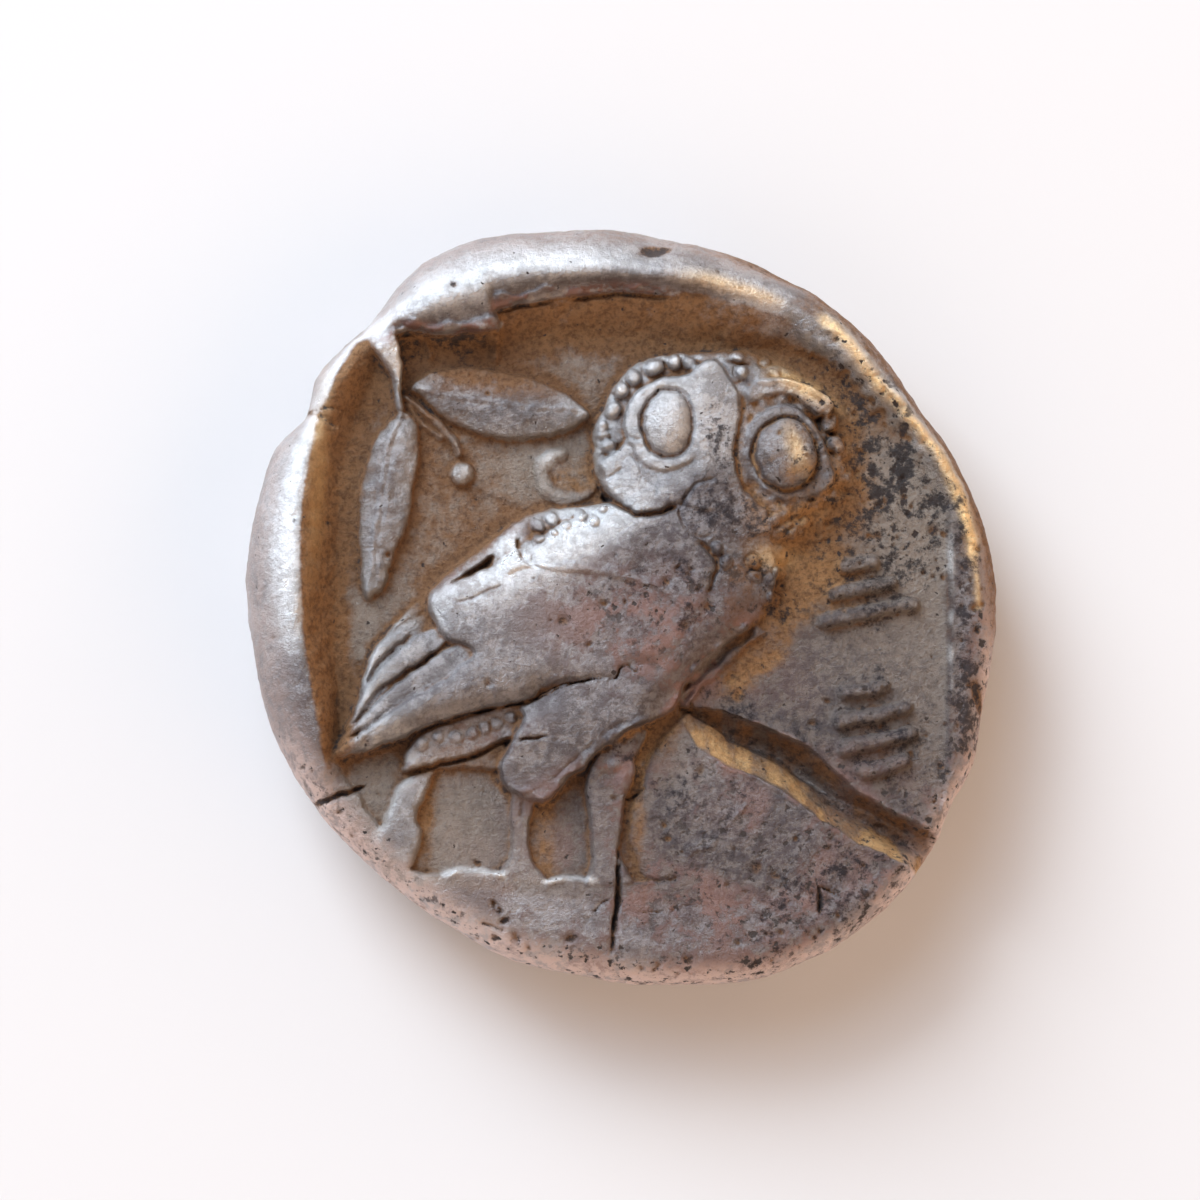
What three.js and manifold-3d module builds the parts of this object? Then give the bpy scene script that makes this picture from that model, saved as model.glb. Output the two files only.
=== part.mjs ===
// An ancient silver tetradrachm: a thick hammered flan that lies flat with its owl side up.
// Millimetres, +Z up, origin under the middle of the coin, on the surface that it lies on.
import * as THREE from "three";
import { ConvexGeometry } from "three/addons/geometries/ConvexGeometry.js";
import { mergeVertices } from "three/addons/utils/BufferGeometryUtils.js";
import Module from "manifold-3d";

const wasm = await Module();
wasm.setup();

// Driving dimensions.
const FIELD = 3.85; // height of the sunk square's floor above the surface that the coin lies on
const OBVERSE_FIELD = 0.85; // how far the underside's plain middle stands off that surface
const ROOT = 0.45; // how deep a raised form is rooted in the flan
const WALL_RUN = 1.05; // how far the square's walls lean out for each millimetre that they rise
const SIDES = 96; // flat facets round the rim

// The hammered outline, as [degrees from +X, radius].
const RIM_RADIUS = [
  [0, 12.27], [18, 12.15], [30, 11.75], [42, 11.85], [60, 12.05], [78, 12.15], [92, 12.28],
  [104, 12.6], [116, 12.98], [125, 12.75], [132, 12.35], [143, 12.4], [151, 12.1], [158, 12.4],
  [180, 12.29], [198, 12.15], [216, 12.0], [232, 11.95], [250, 12.1], [264, 12.2], [283, 12.67],
  [298, 13.0], [314, 13.0], [328, 12.55], [345, 12.3],
];

// How high the lip stands above the field, as [degrees from +X, height].
const LIP_HEIGHT = [
  [0, 0.3], [20, 0.4], [38, 0.75], [55, 0.9], [72, 1.25], [100, 1.5], [124, 1.5], [132, 0.95],
  [142, 1.15], [152, 1.0], [165, 1.3], [190, 1.25], [208, 0.95], [216, 0.35], [240, 0.3],
  [275, 0.3], [295, 0.12], [335, 0.12],
];

// Rings of the flan from the middle of its underside, over the edge, to the middle of its top.
const UNDERSIDE_RINGS = [
  // [share of the rim's radius, height above the underside's plain middle]
  [0.45, 0.02], [0.72, 0.12], [0.88, 0.4], [0.96, 0.8], [0.992, 1.25],
];
const EDGE_RINGS = [
  // [share of the rim's radius, share of the way from the bulge's height to the lip's]
  [1.0, 0.0], [0.995, 0.4], [0.97, 0.8], [0.935, 0.97], [0.9, 1.0], [0.84, 1.0],
];
const BULGE_HEIGHT = OBVERSE_FIELD + 1.75;
const EXERGUE_RISE = 0.28; // the plain strip under the owl's feet, above the field

// Floor of the sunk square, a convex outline counter-clockwise from its lower left corner.
const SQUARE_FLOOR = [
  [-8.9, -5.6], [-6.9, -8.4], [2.4, -8.9], [10.3, -6.3], [10.6, -3.0], [10.6, 2.9], [9.3, 5.5],
  [6.0, 8.3], [-0.6, 8.8], [-7.2, 8.5], [-8.0, 7.6], [-9.0, 4.5], [-9.25, 0.0],
];

// The chisel cut, from where it starts to past the rim: both banks, the valley and its depth.
const CUT_STATIONS = [
  { upper: [2.1, -3.25], lower: [2.0, -3.4], valley: [2.05, -3.3], depth: 0.05 },
  { upper: [5.75, -4.4], lower: [4.8, -5.7], valley: [5.5, -5.15], depth: 0.95 },
  { upper: [12.7, -8.7], lower: [12.0, -10.1], valley: [12.5, -9.6], depth: 1.5 },
];

// A closed geometry as a solid that can be joined and cut.
function solidOf(geometry) {
  const bare = geometry.clone();
  bare.deleteAttribute("normal");
  bare.deleteAttribute("uv");
  const merged = mergeVertices(bare, 1e-4);
  const mesh = new wasm.Mesh({
    numProp: 3,
    vertProperties: merged.attributes.position.array,
    triVerts: new Uint32Array(merged.index.array),
  });
  return new wasm.Manifold(mesh);
}

// A solid as a geometry with flat facets.
function geometryOf(solid) {
  const mesh = solid.getMesh();
  const position = new THREE.BufferAttribute(mesh.vertProperties, mesh.numProp);
  const indexed = new THREE.BufferGeometry().setAttribute("position", position);
  indexed.setIndex(new THREE.BufferAttribute(mesh.triVerts, 1));
  const faceted = indexed.toNonIndexed();
  faceted.computeVertexNormals();
  return faceted;
}

// A closed body through rings of equal point counts, lowest first, each counter-clockwise.
function stack(rings) {
  const count = rings[0].length;
  const triangles = [];
  for (let level = 1; level < rings.length; level++) {
    const below = (level - 1) * count;
    const above = level * count;
    for (let i = 0; i < count; i++) {
      const next = (i + 1) % count;
      triangles.push(below + i, below + next, above + next);
      triangles.push(below + i, above + next, above + i);
    }
  }
  const capOf = (ring) => {
    const flat = ring.map((point) => new THREE.Vector2(point.x, point.y));
    return THREE.ShapeUtils.triangulateShape(flat, []);
  };
  for (const [a, b, c] of capOf(rings[0])) triangles.push(a, c, b);
  const last = (rings.length - 1) * count;
  for (const face of capOf(rings.at(-1))) triangles.push(...face.map((corner) => corner + last));
  const geometry = new THREE.BufferGeometry().setFromPoints(rings.flat());
  geometry.setIndex(triangles);
  return solidOf(geometry);
}

// A value read off a table of [degrees, value] round the coin, smoothly and without a break.
function roundTheCoin(table, degrees) {
  const turned = ((degrees % 360) + 360) % 360;
  const count = table.length;
  const start = table.findLastIndex(([angle]) => angle <= turned);
  const [before, left, right, after] = [-1, 0, 1, 2].map((offset) => {
    const index = start + offset;
    const [angle, value] = table[((index % count) + count) % count];
    return [angle + 360 * Math.floor(index / count), value];
  });
  const span = right[0] - left[0];
  const share = (turned - left[0]) / span;
  const leftSlope = ((right[1] - before[1]) / (right[0] - before[0])) * span;
  const rightSlope = ((after[1] - left[1]) / (after[0] - left[0])) * span;
  const eased = share * share * (3 - 2 * share);
  const leftPull = share * (1 - share) ** 2 * leftSlope;
  const rightPull = share ** 2 * (1 - share) * rightSlope;
  return THREE.MathUtils.lerp(left[1], right[1], eased) + leftPull - rightPull;
}

// Plan outlines, each a list of Vector2 counter-clockwise.
const plan = (pairs) => pairs.map(([x, y]) => new THREE.Vector2(x, y));

function smoothOutline(pairs, count) {
  const corners = pairs.map(([x, y]) => new THREE.Vector3(x, y, 0));
  const curve = new THREE.CatmullRomCurve3(corners, true, "centripetal");
  const outline = curve.getSpacedPoints(count).slice(0, -1);
  return outline.map((point) => new THREE.Vector2(point.x, point.y));
}

function ellipse([x, y], radiusX, radiusY, turn = 0, count = 20) {
  const curve = new THREE.EllipseCurve(x, y, radiusX, radiusY, 0, 2 * Math.PI, false, turn);
  return curve.getPoints(count).slice(0, -1);
}

// A leaf, feather or toe: pointed at both ends, and widest at the share `belly` of its length.
function blade([baseX, baseY], [tipX, tipY], width, belly = 0.5, count = 22) {
  const base = new THREE.Vector2(baseX, baseY);
  const along = new THREE.Vector2(tipX, tipY).sub(base);
  const across = new THREE.Vector2(-along.y, along.x).normalize();
  const power = Math.log(0.5) / Math.log(belly);
  return Array.from({ length: count }, (_, i) => {
    const angle = (2 * Math.PI * i) / count;
    const share = (1 - Math.cos(angle)) / 2;
    const half = (-width / 2) * Math.sign(Math.sin(angle)) * Math.sin(Math.PI * share ** power);
    return base.clone().addScaledVector(along, share).addScaledVector(across, half);
  });
}

// A bar with round ends, wider at one end than at the other.
function bar([startX, startY], [endX, endY], startWidth, endWidth = startWidth, arc = 5) {
  const heading = Math.atan2(endY - startY, endX - startX);
  const halfRound = (x, y, radius, from) =>
    Array.from({ length: arc + 1 }, (_, i) => {
      const angle = from + (Math.PI * i) / arc;
      return new THREE.Vector2(x + radius * Math.cos(angle), y + radius * Math.sin(angle));
    });
  return [
    ...halfRound(startX, startY, startWidth / 2, heading + Math.PI / 2),
    ...halfRound(endX, endY, endWidth / 2, heading - Math.PI / 2),
  ];
}

// Levels of a form raised from the field, as [height, inset], lowest first: a full swelling one,
// and a crisp one with steep sides.
const swelling = (rise) => [
  [FIELD - ROOT, 0], [FIELD + 0.3 * rise, 0], [FIELD + 0.65 * rise, 0.08],
  [FIELD + 0.88 * rise, 0.24], [FIELD + rise, 0.55],
];
const crisp = (rise) => [
  [FIELD - ROOT, 0], [FIELD + 0.55 * rise, 0.04], [FIELD + rise, 0.45],
];

// Levels of a form raised from the underside, worn flat where the coin lies on it.
const worn = [
  [0, 0.34], [0.12, 0.2], [0.4, 0.07], [0.7, 0], [OBVERSE_FIELD + ROOT + 0.2, 0],
];

// A raised form: its outline drawn in towards a spine as it rises. The spine is two points.
function raised(drawn, spine, levels) {
  const outline = THREE.ShapeUtils.isClockWise(drawn) ? drawn.toReversed() : drawn;
  const [start, end] = spine.map(([x, y]) => new THREE.Vector3(x, y, 0));
  const ridge = new THREE.Line3(start, end);
  const rings = levels.map(([height, inset]) =>
    outline.map((corner) => {
      const point = new THREE.Vector3(corner.x, corner.y, 0);
      const heart = ridge.closestPointToPoint(point, true, new THREE.Vector3());
      return point.lerp(heart, inset).setZ(height);
    }),
  );
  return stack(rings);
}

const raisedRound = (centre, radiusX, radiusY, levels, turn = 0, count = 20) =>
  raised(ellipse(centre, radiusX, radiusY, turn, count), [centre, centre], levels);

const raisedBlade = (base, tip, width, levels, belly = 0.5) =>
  raised(blade(base, tip, width, belly), [base, tip], levels);

const raisedBar = (start, end, levels, startWidth, endWidth = startWidth) =>
  raised(bar(start, end, startWidth, endWidth), [start, end], levels);

// The hammered blank: a bulging edge, and a lip that rises and falls round the top.
function flan() {
  const ringAt = (share, heightAt) =>
    Array.from({ length: SIDES }, (_, i) => {
      const degrees = (360 * i) / SIDES;
      const radius = share * roundTheCoin(RIM_RADIUS, degrees);
      const angle = THREE.MathUtils.degToRad(degrees);
      const [x, y] = [radius * Math.cos(angle), radius * Math.sin(angle)];
      return new THREE.Vector3(x, y, heightAt(degrees));
    });
  const underside = UNDERSIDE_RINGS.map(([share, rise]) => ringAt(share, () => OBVERSE_FIELD + rise));
  const edge = EDGE_RINGS.map(([share, climb]) =>
    ringAt(share, (degrees) => {
      const lip = FIELD + roundTheCoin(LIP_HEIGHT, degrees);
      return THREE.MathUtils.lerp(BULGE_HEIGHT, lip, climb);
    }),
  );
  const middle = ringAt(0.7, () => FIELD + EXERGUE_RISE);
  return stack([...underside, ...edge, middle]);
}

// What the square punch pressed away, with its leaning walls.
function sunkSquare() {
  const height = 2.2;
  const floor = SQUARE_FLOOR.map(([x, y]) => new THREE.Vector3(x, y, FIELD));
  const spread = floor.map((corner) => {
    const outward = new THREE.Vector3(corner.x, corner.y, 0).setLength(height * WALL_RUN);
    return corner.clone().add(outward).setZ(FIELD + height);
  });
  return solidOf(new ConvexGeometry([...floor, ...spread]));
}

// What the chisel pushed aside: a V that widens and deepens towards the rim.
function chiselCut() {
  const overshoot = 1.6; // the banks' slopes run on above the field, past the owl's relief
  const corners = CUT_STATIONS.flatMap(({ upper, lower, valley, depth }) => {
    const bottom = new THREE.Vector3(...valley, FIELD - depth);
    const banks = [upper, lower].map(([x, y]) => {
      const bank = new THREE.Vector3(x, y, FIELD);
      return bottom.clone().lerp(bank, overshoot);
    });
    return [bottom, ...banks];
  });
  return solidOf(new ConvexGeometry(corners));
}

function owlHead() {
  const skull = [
    [-0.75, 5.5], [-0.6, 4.2], [0.3, 3.3], [1.8, 2.5], [3.2, 2.1], [4.9, 1.95], [6.4, 2.3],
    [7.6, 3.4], [7.9, 4.7], [7.5, 6.3], [6.2, 7.7], [4.4, 8.4], [2.4, 8.4], [0.6, 7.7], [-0.4, 6.6],
  ];
  const leftEye = [1.35, 5.95];
  const rightEye = [5.3, 5.1];
  const beakTop = [2.9, 4.6];
  const beakTip = [2.55, 2.6];
  const leftPupil = raisedRound(leftEye, 0.82, 1.0, swelling(1.55), 0, 16);
  const rightPupil = raisedRound(rightEye, 1.05, 1.12, swelling(1.6), 0, 16);
  const borderBeads = Array.from({ length: 6 }, (_, i) => {
    const angle = THREE.MathUtils.degToRad(112 + 14 * i);
    const centre = [2.1 + 2.45 * Math.cos(angle), 5.6 + 2.45 * Math.sin(angle)];
    return raisedRound(centre, 0.3, 0.3, crisp(0.95), 0, 8);
  });
  return [
    raised(smoothOutline(skull, 34), [leftEye, rightEye], swelling(1.05)),
    raisedRound(leftEye, 1.25, 1.5, crisp(1.3), 0, 20),
    raisedRound(rightEye, 1.5, 1.62, crisp(1.3), 0, 20),
    leftPupil,
    rightPupil,
    raised(bar(beakTop, beakTip, 0.9, 1.5), [beakTop, beakTip], swelling(1.45)),
    ...borderBeads,
  ];
}

function owlBody() {
  const trunk = [
    [-0.6, 3.3], [-2.7, 3.05], [-4.6, 1.95], [-6.25, 0.3], [-5.6, -1.2], [-3.6, -2.8], [-1.8, -3.6],
    [0.6, -3.5], [2.3, -2.9], [4.0, -1.5], [4.95, -0.1], [5.1, 1.3], [4.7, 2.4], [2.6, 2.9],
  ];
  const shoulder = [
    [-6.2, 0.1], [-5.6, -0.95], [-4.6, -1.6], [-1.2, -2.2], [1.6, -1.8], [3.4, -0.6], [3.7, 1.1],
    [2.4, 2.4], [0.2, 3.0], [-2.2, 2.4], [-4.4, 1.2],
  ];
  const thigh = [
    [-3.6, -4.3], [-3.75, -5.3], [-3.2, -6.1], [-2.3, -6.25], [-1.4, -5.6], [0.1, -4.4], [1.4, -3.4],
    [0.6, -2.5], [-1.6, -2.6], [-2.9, -3.2],
  ];
  const flightFeathers = [
    // [root, tip, width]
    [[-6.0, 0.0], [-8.5, -3.4], 0.8],
    [[-5.4, -0.6], [-8.9, -4.5], 0.85],
    [[-4.4, -1.1], [-9.15, -4.95], 1.1],
    [[0.4, -2.2], [-9.05, -5.3], 1.9],
  ];
  return [
    raised(smoothOutline(trunk, 34), [[-3.0, 0.4], [3.0, 0.4]], swelling(1.15)),
    raised(smoothOutline(shoulder, 30), [[-4.2, -0.2], [1.8, 0.6]], swelling(1.4)),
    raised(smoothOutline(thigh, 24), [[-2.4, -5.0], [0.0, -3.5]], swelling(1.1)),
    ...flightFeathers.map(([root, tip, width]) => raisedBlade(root, tip, width, crisp(0.85), 0.4)),
  ];
}

function owlLegsAndTail() {
  const covert = [[-6.6, -4.75], [-5.8, -5.35], [-3.4, -4.7], [-3.2, -3.4], [-5.2, -4.1]];
  const tail = [
    [-6.0, -5.0], [-6.1, -5.9], [-6.5, -7.4], [-7.0, -8.5], [-7.7, -8.3], [-7.6, -7.0], [-7.2, -5.9],
  ];
  const legTops = [[-3.2, -6.0], [-0.2, -4.6]];
  const legFeet = [[-2.85, -8.7], [-0.2, -8.8]];
  const legs = legTops.map((top, i) => raisedBar(top, legFeet[i], crisp(0.6), 1.0, 0.8));
  const toes = legFeet.flatMap(([x, y]) => [
    raisedBlade([x, y + 0.25], [x + 1.7, y - 0.1], 0.6, crisp(0.45), 0.35),
    raisedBlade([x, y + 0.2], [x - 1.4, y - 0.05], 0.5, crisp(0.4), 0.35),
  ]);
  return [
    raised(plan(covert), [[-5.6, -4.9], [-3.6, -4.2]], crisp(0.5)),
    raised(smoothOutline(tail, 18), [[-6.6, -5.6], [-7.2, -7.8]], swelling(0.6)),
    ...legs,
    ...toes,
  ];
}

function oliveSprigAndCrescent() {
  const stem = [-7.25, 6.85];
  const berry = [-5.2, 4.35];
  const crescentOuter = new THREE.EllipseCurve(-1.75, 4.2, 0.9, 0.9, 0.8, 5.4);
  const crescentInner = new THREE.EllipseCurve(-1.5, 4.2, 0.62, 0.62, 5.2, 1.0, true);
  const crescent = [...crescentOuter.getPoints(12), ...crescentInner.getPoints(8)];
  return [
    raisedBlade([-6.9, 7.0], [-0.95, 6.15], 2.3, swelling(0.55)),
    raisedBlade([-7.35, 6.4], [-8.3, 0.1], 1.9, swelling(0.55)),
    raisedBar([-7.6, 8.0], stem, crisp(0.5), 0.35),
    raisedBar(stem, berry, crisp(0.4), 0.4, 0.25),
    raisedRound(berry, 0.5, 0.5, swelling(0.65), 0, 12),
    raised(crescent, [[-2.5, 4.5], [-2.5, 3.9]], [[FIELD - ROOT, 0], [FIELD + 0.3, 0]]),
  ];
}

// Two clusters of shallow raised strokes down the right of the field.
function strokes() {
  const width = 0.42;
  const level = crisp(0.38);
  const slant = THREE.MathUtils.degToRad(12);
  const cluster = ([x, y], lengths, spacing) =>
    lengths.map((length, i) => {
      const step = (i - (lengths.length - 1) / 2) * spacing;
      const centre = new THREE.Vector2(x - step * Math.sin(slant), y + step * Math.cos(slant));
      const half = new THREE.Vector2(Math.cos(slant), Math.sin(slant)).multiplyScalar(length / 2);
      const [start, end] = [centre.clone().sub(half), centre.clone().add(half)];
      return raisedBar(start.toArray(), end.toArray(), level, width);
    });
  return [
    ...cluster([7.95, 0.75], [2.9, 1.9, 1.0], 0.82),
    ...cluster([8.3, -3.85], [1.3, 2.2, 2.2, 1.3], 0.85),
  ];
}

// The plain ground under the owl's feet runs up beside its right leg to the chisel cut.
function ground() {
  const corners = [[2.3, -8.9], [2.0, -6.2], [2.4, -4.0], [5.4, -5.2], [9.3, -7.8], [8.4, -8.6], [4.0, -9.8]];
  const levels = [[FIELD - ROOT, 0], [FIELD, 0], [FIELD + EXERGUE_RISE, 0.12]];
  return raised(plan(corners), [[4.6, -7.2], [6.4, -7.6]], levels);
}

// The underside: a helmeted head in profile, plain and worn flat on top. It faces -X here.
function undersideHead() {
  const faceAndNeck = [
    [-5.0, 3.0], [-5.6, 1.2], [-6.7, -0.5], [-6.0, -1.1], [-6.4, -1.9], [-5.9, -2.4], [-6.2, -3.0],
    [-5.7, -3.5], [-5.9, -4.4], [-5.0, -5.2], [-2.8, -5.4], [-2.5, -8.4], [3.6, -8.3], [4.6, -3.0],
    [3.6, 2.4],
  ];
  const crest = [];
  const crestPoints = 12;
  for (const radius of [8.9, 7.7])
    for (let i = 0; i <= crestPoints; i++) {
      const share = radius > 8 ? i / crestPoints : 1 - i / crestPoints;
      const angle = THREE.MathUtils.degToRad(-22 + 142 * share);
      crest.push([0.6 + radius * Math.cos(angle), 0.8 + radius * Math.sin(angle)]);
    }
  const crestLevels = [[0.35, 0.02], [0.5, 0], [OBVERSE_FIELD + ROOT + 0.4, 0]];
  return [
    raised(plan(faceAndNeck), [[-2.2, -0.8], [0.4, -5.6]], worn),
    raised(ellipse([0.7, 3.0], 6.3, 5.4, 0.15, 34), [[-1.0, 3.0], [2.2, 3.2]], worn),
    raised(plan(crest), [[7.5, 3.6], [4.9, 7.2]], crestLevels),
  ];
}

function coin() {
  const forms = [
    ...owlHead(),
    ...owlBody(),
    ...owlLegsAndTail(),
    ...oliveSprigAndCrescent(),
    ...strokes(),
    ground(),
    ...undersideHead(),
  ];
  const blank = flan().subtract(sunkSquare());
  const struck = forms.reduce((whole, form) => whole.add(form), blank);
  const geometry = geometryOf(struck.subtract(chiselCut()));
  geometry.computeBoundingBox();
  const { min, max } = geometry.boundingBox;
  geometry.translate(-(min.x + max.x) / 2, -(min.y + max.y) / 2, -min.z);
  const silver = new THREE.MeshStandardMaterial({ color: 0xa39a93, roughness: 0.42, metalness: 1 });
  const mesh = new THREE.Mesh(geometry, silver);
  mesh.name = "coin";
  return mesh;
}

const tetradrachm = new THREE.Group();
tetradrachm.add(coin());

export default tetradrachm;
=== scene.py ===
"""A worn silver tetradrachm, struck from one lump of metal, lying with its owl side up."""

import math
from functools import partial
from types import SimpleNamespace

import bpy
import numpy as np
from bpy.props import FloatProperty, FloatVectorProperty, IntProperty, PointerProperty
from mathutils import Matrix, Vector


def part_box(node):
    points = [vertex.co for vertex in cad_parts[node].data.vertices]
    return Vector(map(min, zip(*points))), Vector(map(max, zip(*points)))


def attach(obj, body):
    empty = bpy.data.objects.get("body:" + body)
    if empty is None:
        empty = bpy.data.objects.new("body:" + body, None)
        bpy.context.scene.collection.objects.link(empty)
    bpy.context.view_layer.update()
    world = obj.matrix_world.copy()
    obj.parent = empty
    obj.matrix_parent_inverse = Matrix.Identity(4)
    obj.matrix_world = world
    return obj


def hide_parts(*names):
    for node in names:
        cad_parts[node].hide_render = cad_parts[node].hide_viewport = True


bl_info = {
    "name": "Tetradrachm",
    "version": (1, 0, 0),
    "blender": (4, 5, 0),
    "location": "3D View > Sidebar > Coin",
    "description": "Strikes a worn silver owl coin over its packed solid and sets its stage",
    "category": "Object",
}

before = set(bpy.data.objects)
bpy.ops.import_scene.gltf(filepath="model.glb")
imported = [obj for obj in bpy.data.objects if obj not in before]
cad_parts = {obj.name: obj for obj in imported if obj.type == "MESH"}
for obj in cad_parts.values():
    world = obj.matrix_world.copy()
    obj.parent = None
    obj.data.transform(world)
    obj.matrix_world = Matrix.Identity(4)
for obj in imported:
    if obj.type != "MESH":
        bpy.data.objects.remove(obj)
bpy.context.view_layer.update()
COIN_LOW, COIN_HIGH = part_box("coin")

MM = 0.001  # the die and the flan are cut in millimetres, and Blender's unit is the metre
COIN_HEIGHT = (COIN_HIGH.z - COIN_LOW.z) / MM
OWL_RISE = 1.6  # the owl's right eye above the field: the coin's highest point
FIELD = COIN_HEIGHT - OWL_RISE  # the sunk square's floor above the table
EXERGUE = 0.28  # the plain strip under the owl's feet, above the field
BULGE = FIELD - 1.25  # where the edge stands out furthest
OBVERSE_FIELD = 0.85  # the underside's plain middle, above the table
FOOT_INSET = 0.9  # how far the edge turns in under the coin before the underside begins
RING_COUNTS = (205, 34, 20, 110)  # rings on the owl side, round its edge, down to the foot and below
FIT_MARGIN = 0.9995  # the skin keeps this much inside the solid's plan
LIP_DENTS = 34  # small dents along the rolled lip
PITS = 420  # corrosion pits over the whole side

# The hammered outline, as [degrees from +X, radius].
RIM_RADIUS = [
    (0, 12.27), (12, 12.21), (24, 11.98), (36, 11.72), (48, 11.96), (60, 12.04), (72, 12.08),
    (84, 12.17), (96, 12.45), (102, 12.52), (108, 12.75), (116, 13.0), (125, 12.77), (132, 12.36),
    (138, 12.40), (144, 12.40), (150, 12.02), (156, 12.40), (162, 12.38), (174, 12.34),
    (186, 12.17), (198, 12.17), (210, 12.08), (222, 11.93), (240, 11.92), (252, 12.12),
    (264, 12.2), (274, 12.42), (283, 12.67), (290, 12.92), (298, 13.04), (306, 13.07),
    (314, 13.03), (322, 12.82), (330, 12.54), (336, 12.58), (342, 12.34), (354, 12.25),
]
# The lip's height above the field.
LIP_HEIGHT = [
    (0, 0.24), (20, 0.36), (38, 0.75), (55, 0.95), (68, 1.15), (78, 1.4), (100, 1.5), (122, 1.5),
    (130, 1.2), (136, 0.95), (142, 1.15), (149, 1.1), (152, 0.95), (160, 1.3), (190, 1.3),
    (205, 1.05), (213, 0.6), (220, 0.3), (320, 0.3), (330, 0.2), (345, 0.2),
]
# How far in from the rim the top begins to round over into the edge.
EDGE_ROUND = [
    (0, 0.8), (20, 0.65), (38, 0.6), (58, 0.75), (72, 1.3), (100, 1.9), (118, 2.1), (132, 1.2),
    (150, 1.1), (165, 1.7), (195, 1.9), (215, 1.6), (240, 1.5), (270, 1.3), (300, 1.0), (330, 0.8),
]
# Where the lip's crest lies between its inner side, 0, and the rim, 1.
LIP_CREST = [
    (0, 0.14), (22, 0.2), (40, 0.3), (62, 0.3), (78, 0.26), (97, 0.27), (111, 0.44), (121, 0.54),
    (128, 0.45), (133, 0.3), (140, 0.3), (180, 0.3), (215, 0.4), (320, 0.2), (335, 0.12),
]

# The foot of the square's walls, counter-clockwise from the lower left corner.
SQUARE_FLOOR = [
    (-9.0, -5.46), (-6.75, -8.5), (-5.8, -8.7), (-5.0, -8.55), (-3.9, -8.7), (-2.5, -8.9),
    (-2.0, -8.74), (-1.0, -8.78), (0.7, -8.9), (1.8, -8.75), (4.6, -8.6), (10.2, -7.6), (10.45, -6.0),
    (10.62, -3.0), (10.62, 2.7), (9.9, 4.4), (9.1, 5.6), (7.6, 7.2), (6.2, 8.3), (4.0, 8.6), (1.2, 8.8),
    (-0.65, 8.92), (-3.27, 8.72), (-7.0, 8.45), (-7.7, 8.1), (-8.5, 6.6), (-8.85, 5.4), (-9.15, 3.5),
    (-9.3, 0.3), (-9.15, -3.0),
]
# The lip's inner edge, at the top of those walls.
LIP_INNER = [
    (-9.4, -6.4), (-7.2, -8.9), (-2.0, -9.3), (3.0, -9.5), (10.3, -8.0), (10.5, -6.4),
    (10.8, -5.2), (10.85, -3.0), (10.85, 1.6), (10.85, 3.6), (10.15, 5.1), (8.9, 6.9),
    (7.3, 8.45), (5.4, 9.5), (2.6, 10.2), (-0.65, 10.35), (-1.85, 10.22), (-2.94, 9.98), (-4.1, 9.6),
    (-4.15, 9.12), (-5.9, 8.87), (-7.2, 8.98), (-7.75, 8.75), (-8.6, 8.55), (-9.35, 7.3), (-9.95, 5.8),
    (-10.4, 3.5), (-10.5, 1.5), (-10.4, -1.0), (-9.95, -3.7),
]

# ---------------------------------------------------------------- maps over the coin's plan

STEP = 0.03  # spacing of the maps' samples
HALF = 13.5  # the maps reach this far to each side of the middle
DIE_SHIFT = (-0.2, -0.22)  # the owl's die came down a little off the flan's middle
AXIS = np.arange(-HALF, HALF, STEP)
COUNT = len(AXIS)
X, Y = np.meshgrid(AXIS, AXIS)
WHOLE = (slice(None), slice(None))


def spectrum(width, height=None):
    """What a Gaussian blur of this width leaves of each wave on the plan."""
    along_y = np.fft.fftfreq(COUNT, STEP)[:, None]
    along_x = np.fft.rfftfreq(COUNT, STEP)[None, :]
    height = height or width
    return np.exp(-2 * math.pi**2 * ((width * along_x) ** 2 + (height * along_y) ** 2))


def blur(field, width):
    return np.fft.irfft2(np.fft.rfft2(field) * spectrum(width), s=field.shape)


def cloud(width, seed, height=None):
    """Soft random hills about as wide as width, in mm, with a mean of 0 and a spread of 1."""
    white = np.random.default_rng(seed).standard_normal((COUNT, COUNT))
    hills = np.fft.irfft2(np.fft.rfft2(white) * spectrum(width, height), s=white.shape)
    return hills / hills.std()


def smoothstep(low, high, value):
    """0 at low, 1 at high, and smooth between them; low may be the larger."""
    share = np.clip((value - low) / (high - low), 0, 1)
    return share * share * (3 - 2 * share)


def mix(low, high, share):
    return low + (high - low) * share


def near(distance, width):
    """1 at no distance, soft to nothing at about twice the width."""
    return np.exp(-((distance / width) ** 2))


# The engraver's hand is never quite steady: forms are drawn on slightly wandering coordinates.
HAND_X = X + 0.034 * cloud(0.35, 11) + 0.016 * cloud(0.1, 13)
HAND_Y = Y + 0.034 * cloud(0.35, 12) + 0.016 * cloud(0.1, 14)


def spline(points, closed=False, spans=6):
    """A smooth line through the points, as an array of its own points."""
    knots = np.array(points, float)
    if closed:
        knots = np.vstack([knots[-1], knots, knots[0], knots[1]])
    else:
        knots = np.vstack([2 * knots[0] - knots[1], knots, 2 * knots[-1] - knots[-2]])
    share = np.linspace(0, 1, spans, endpoint=False)[:, None]
    pieces = []
    for a, b, c, d in zip(knots, knots[1:], knots[2:], knots[3:]):
        slope_b, slope_c = (c - a) / 2, (d - b) / 2
        cubic = 2 * b - 2 * c + slope_b + slope_c
        square = -3 * b + 3 * c - 2 * slope_b - slope_c
        pieces.append(((cubic * share + square) * share + slope_b) * share + b)
    if not closed:
        pieces.append(knots[-2][None])
    return np.vstack(pieces)


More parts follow.
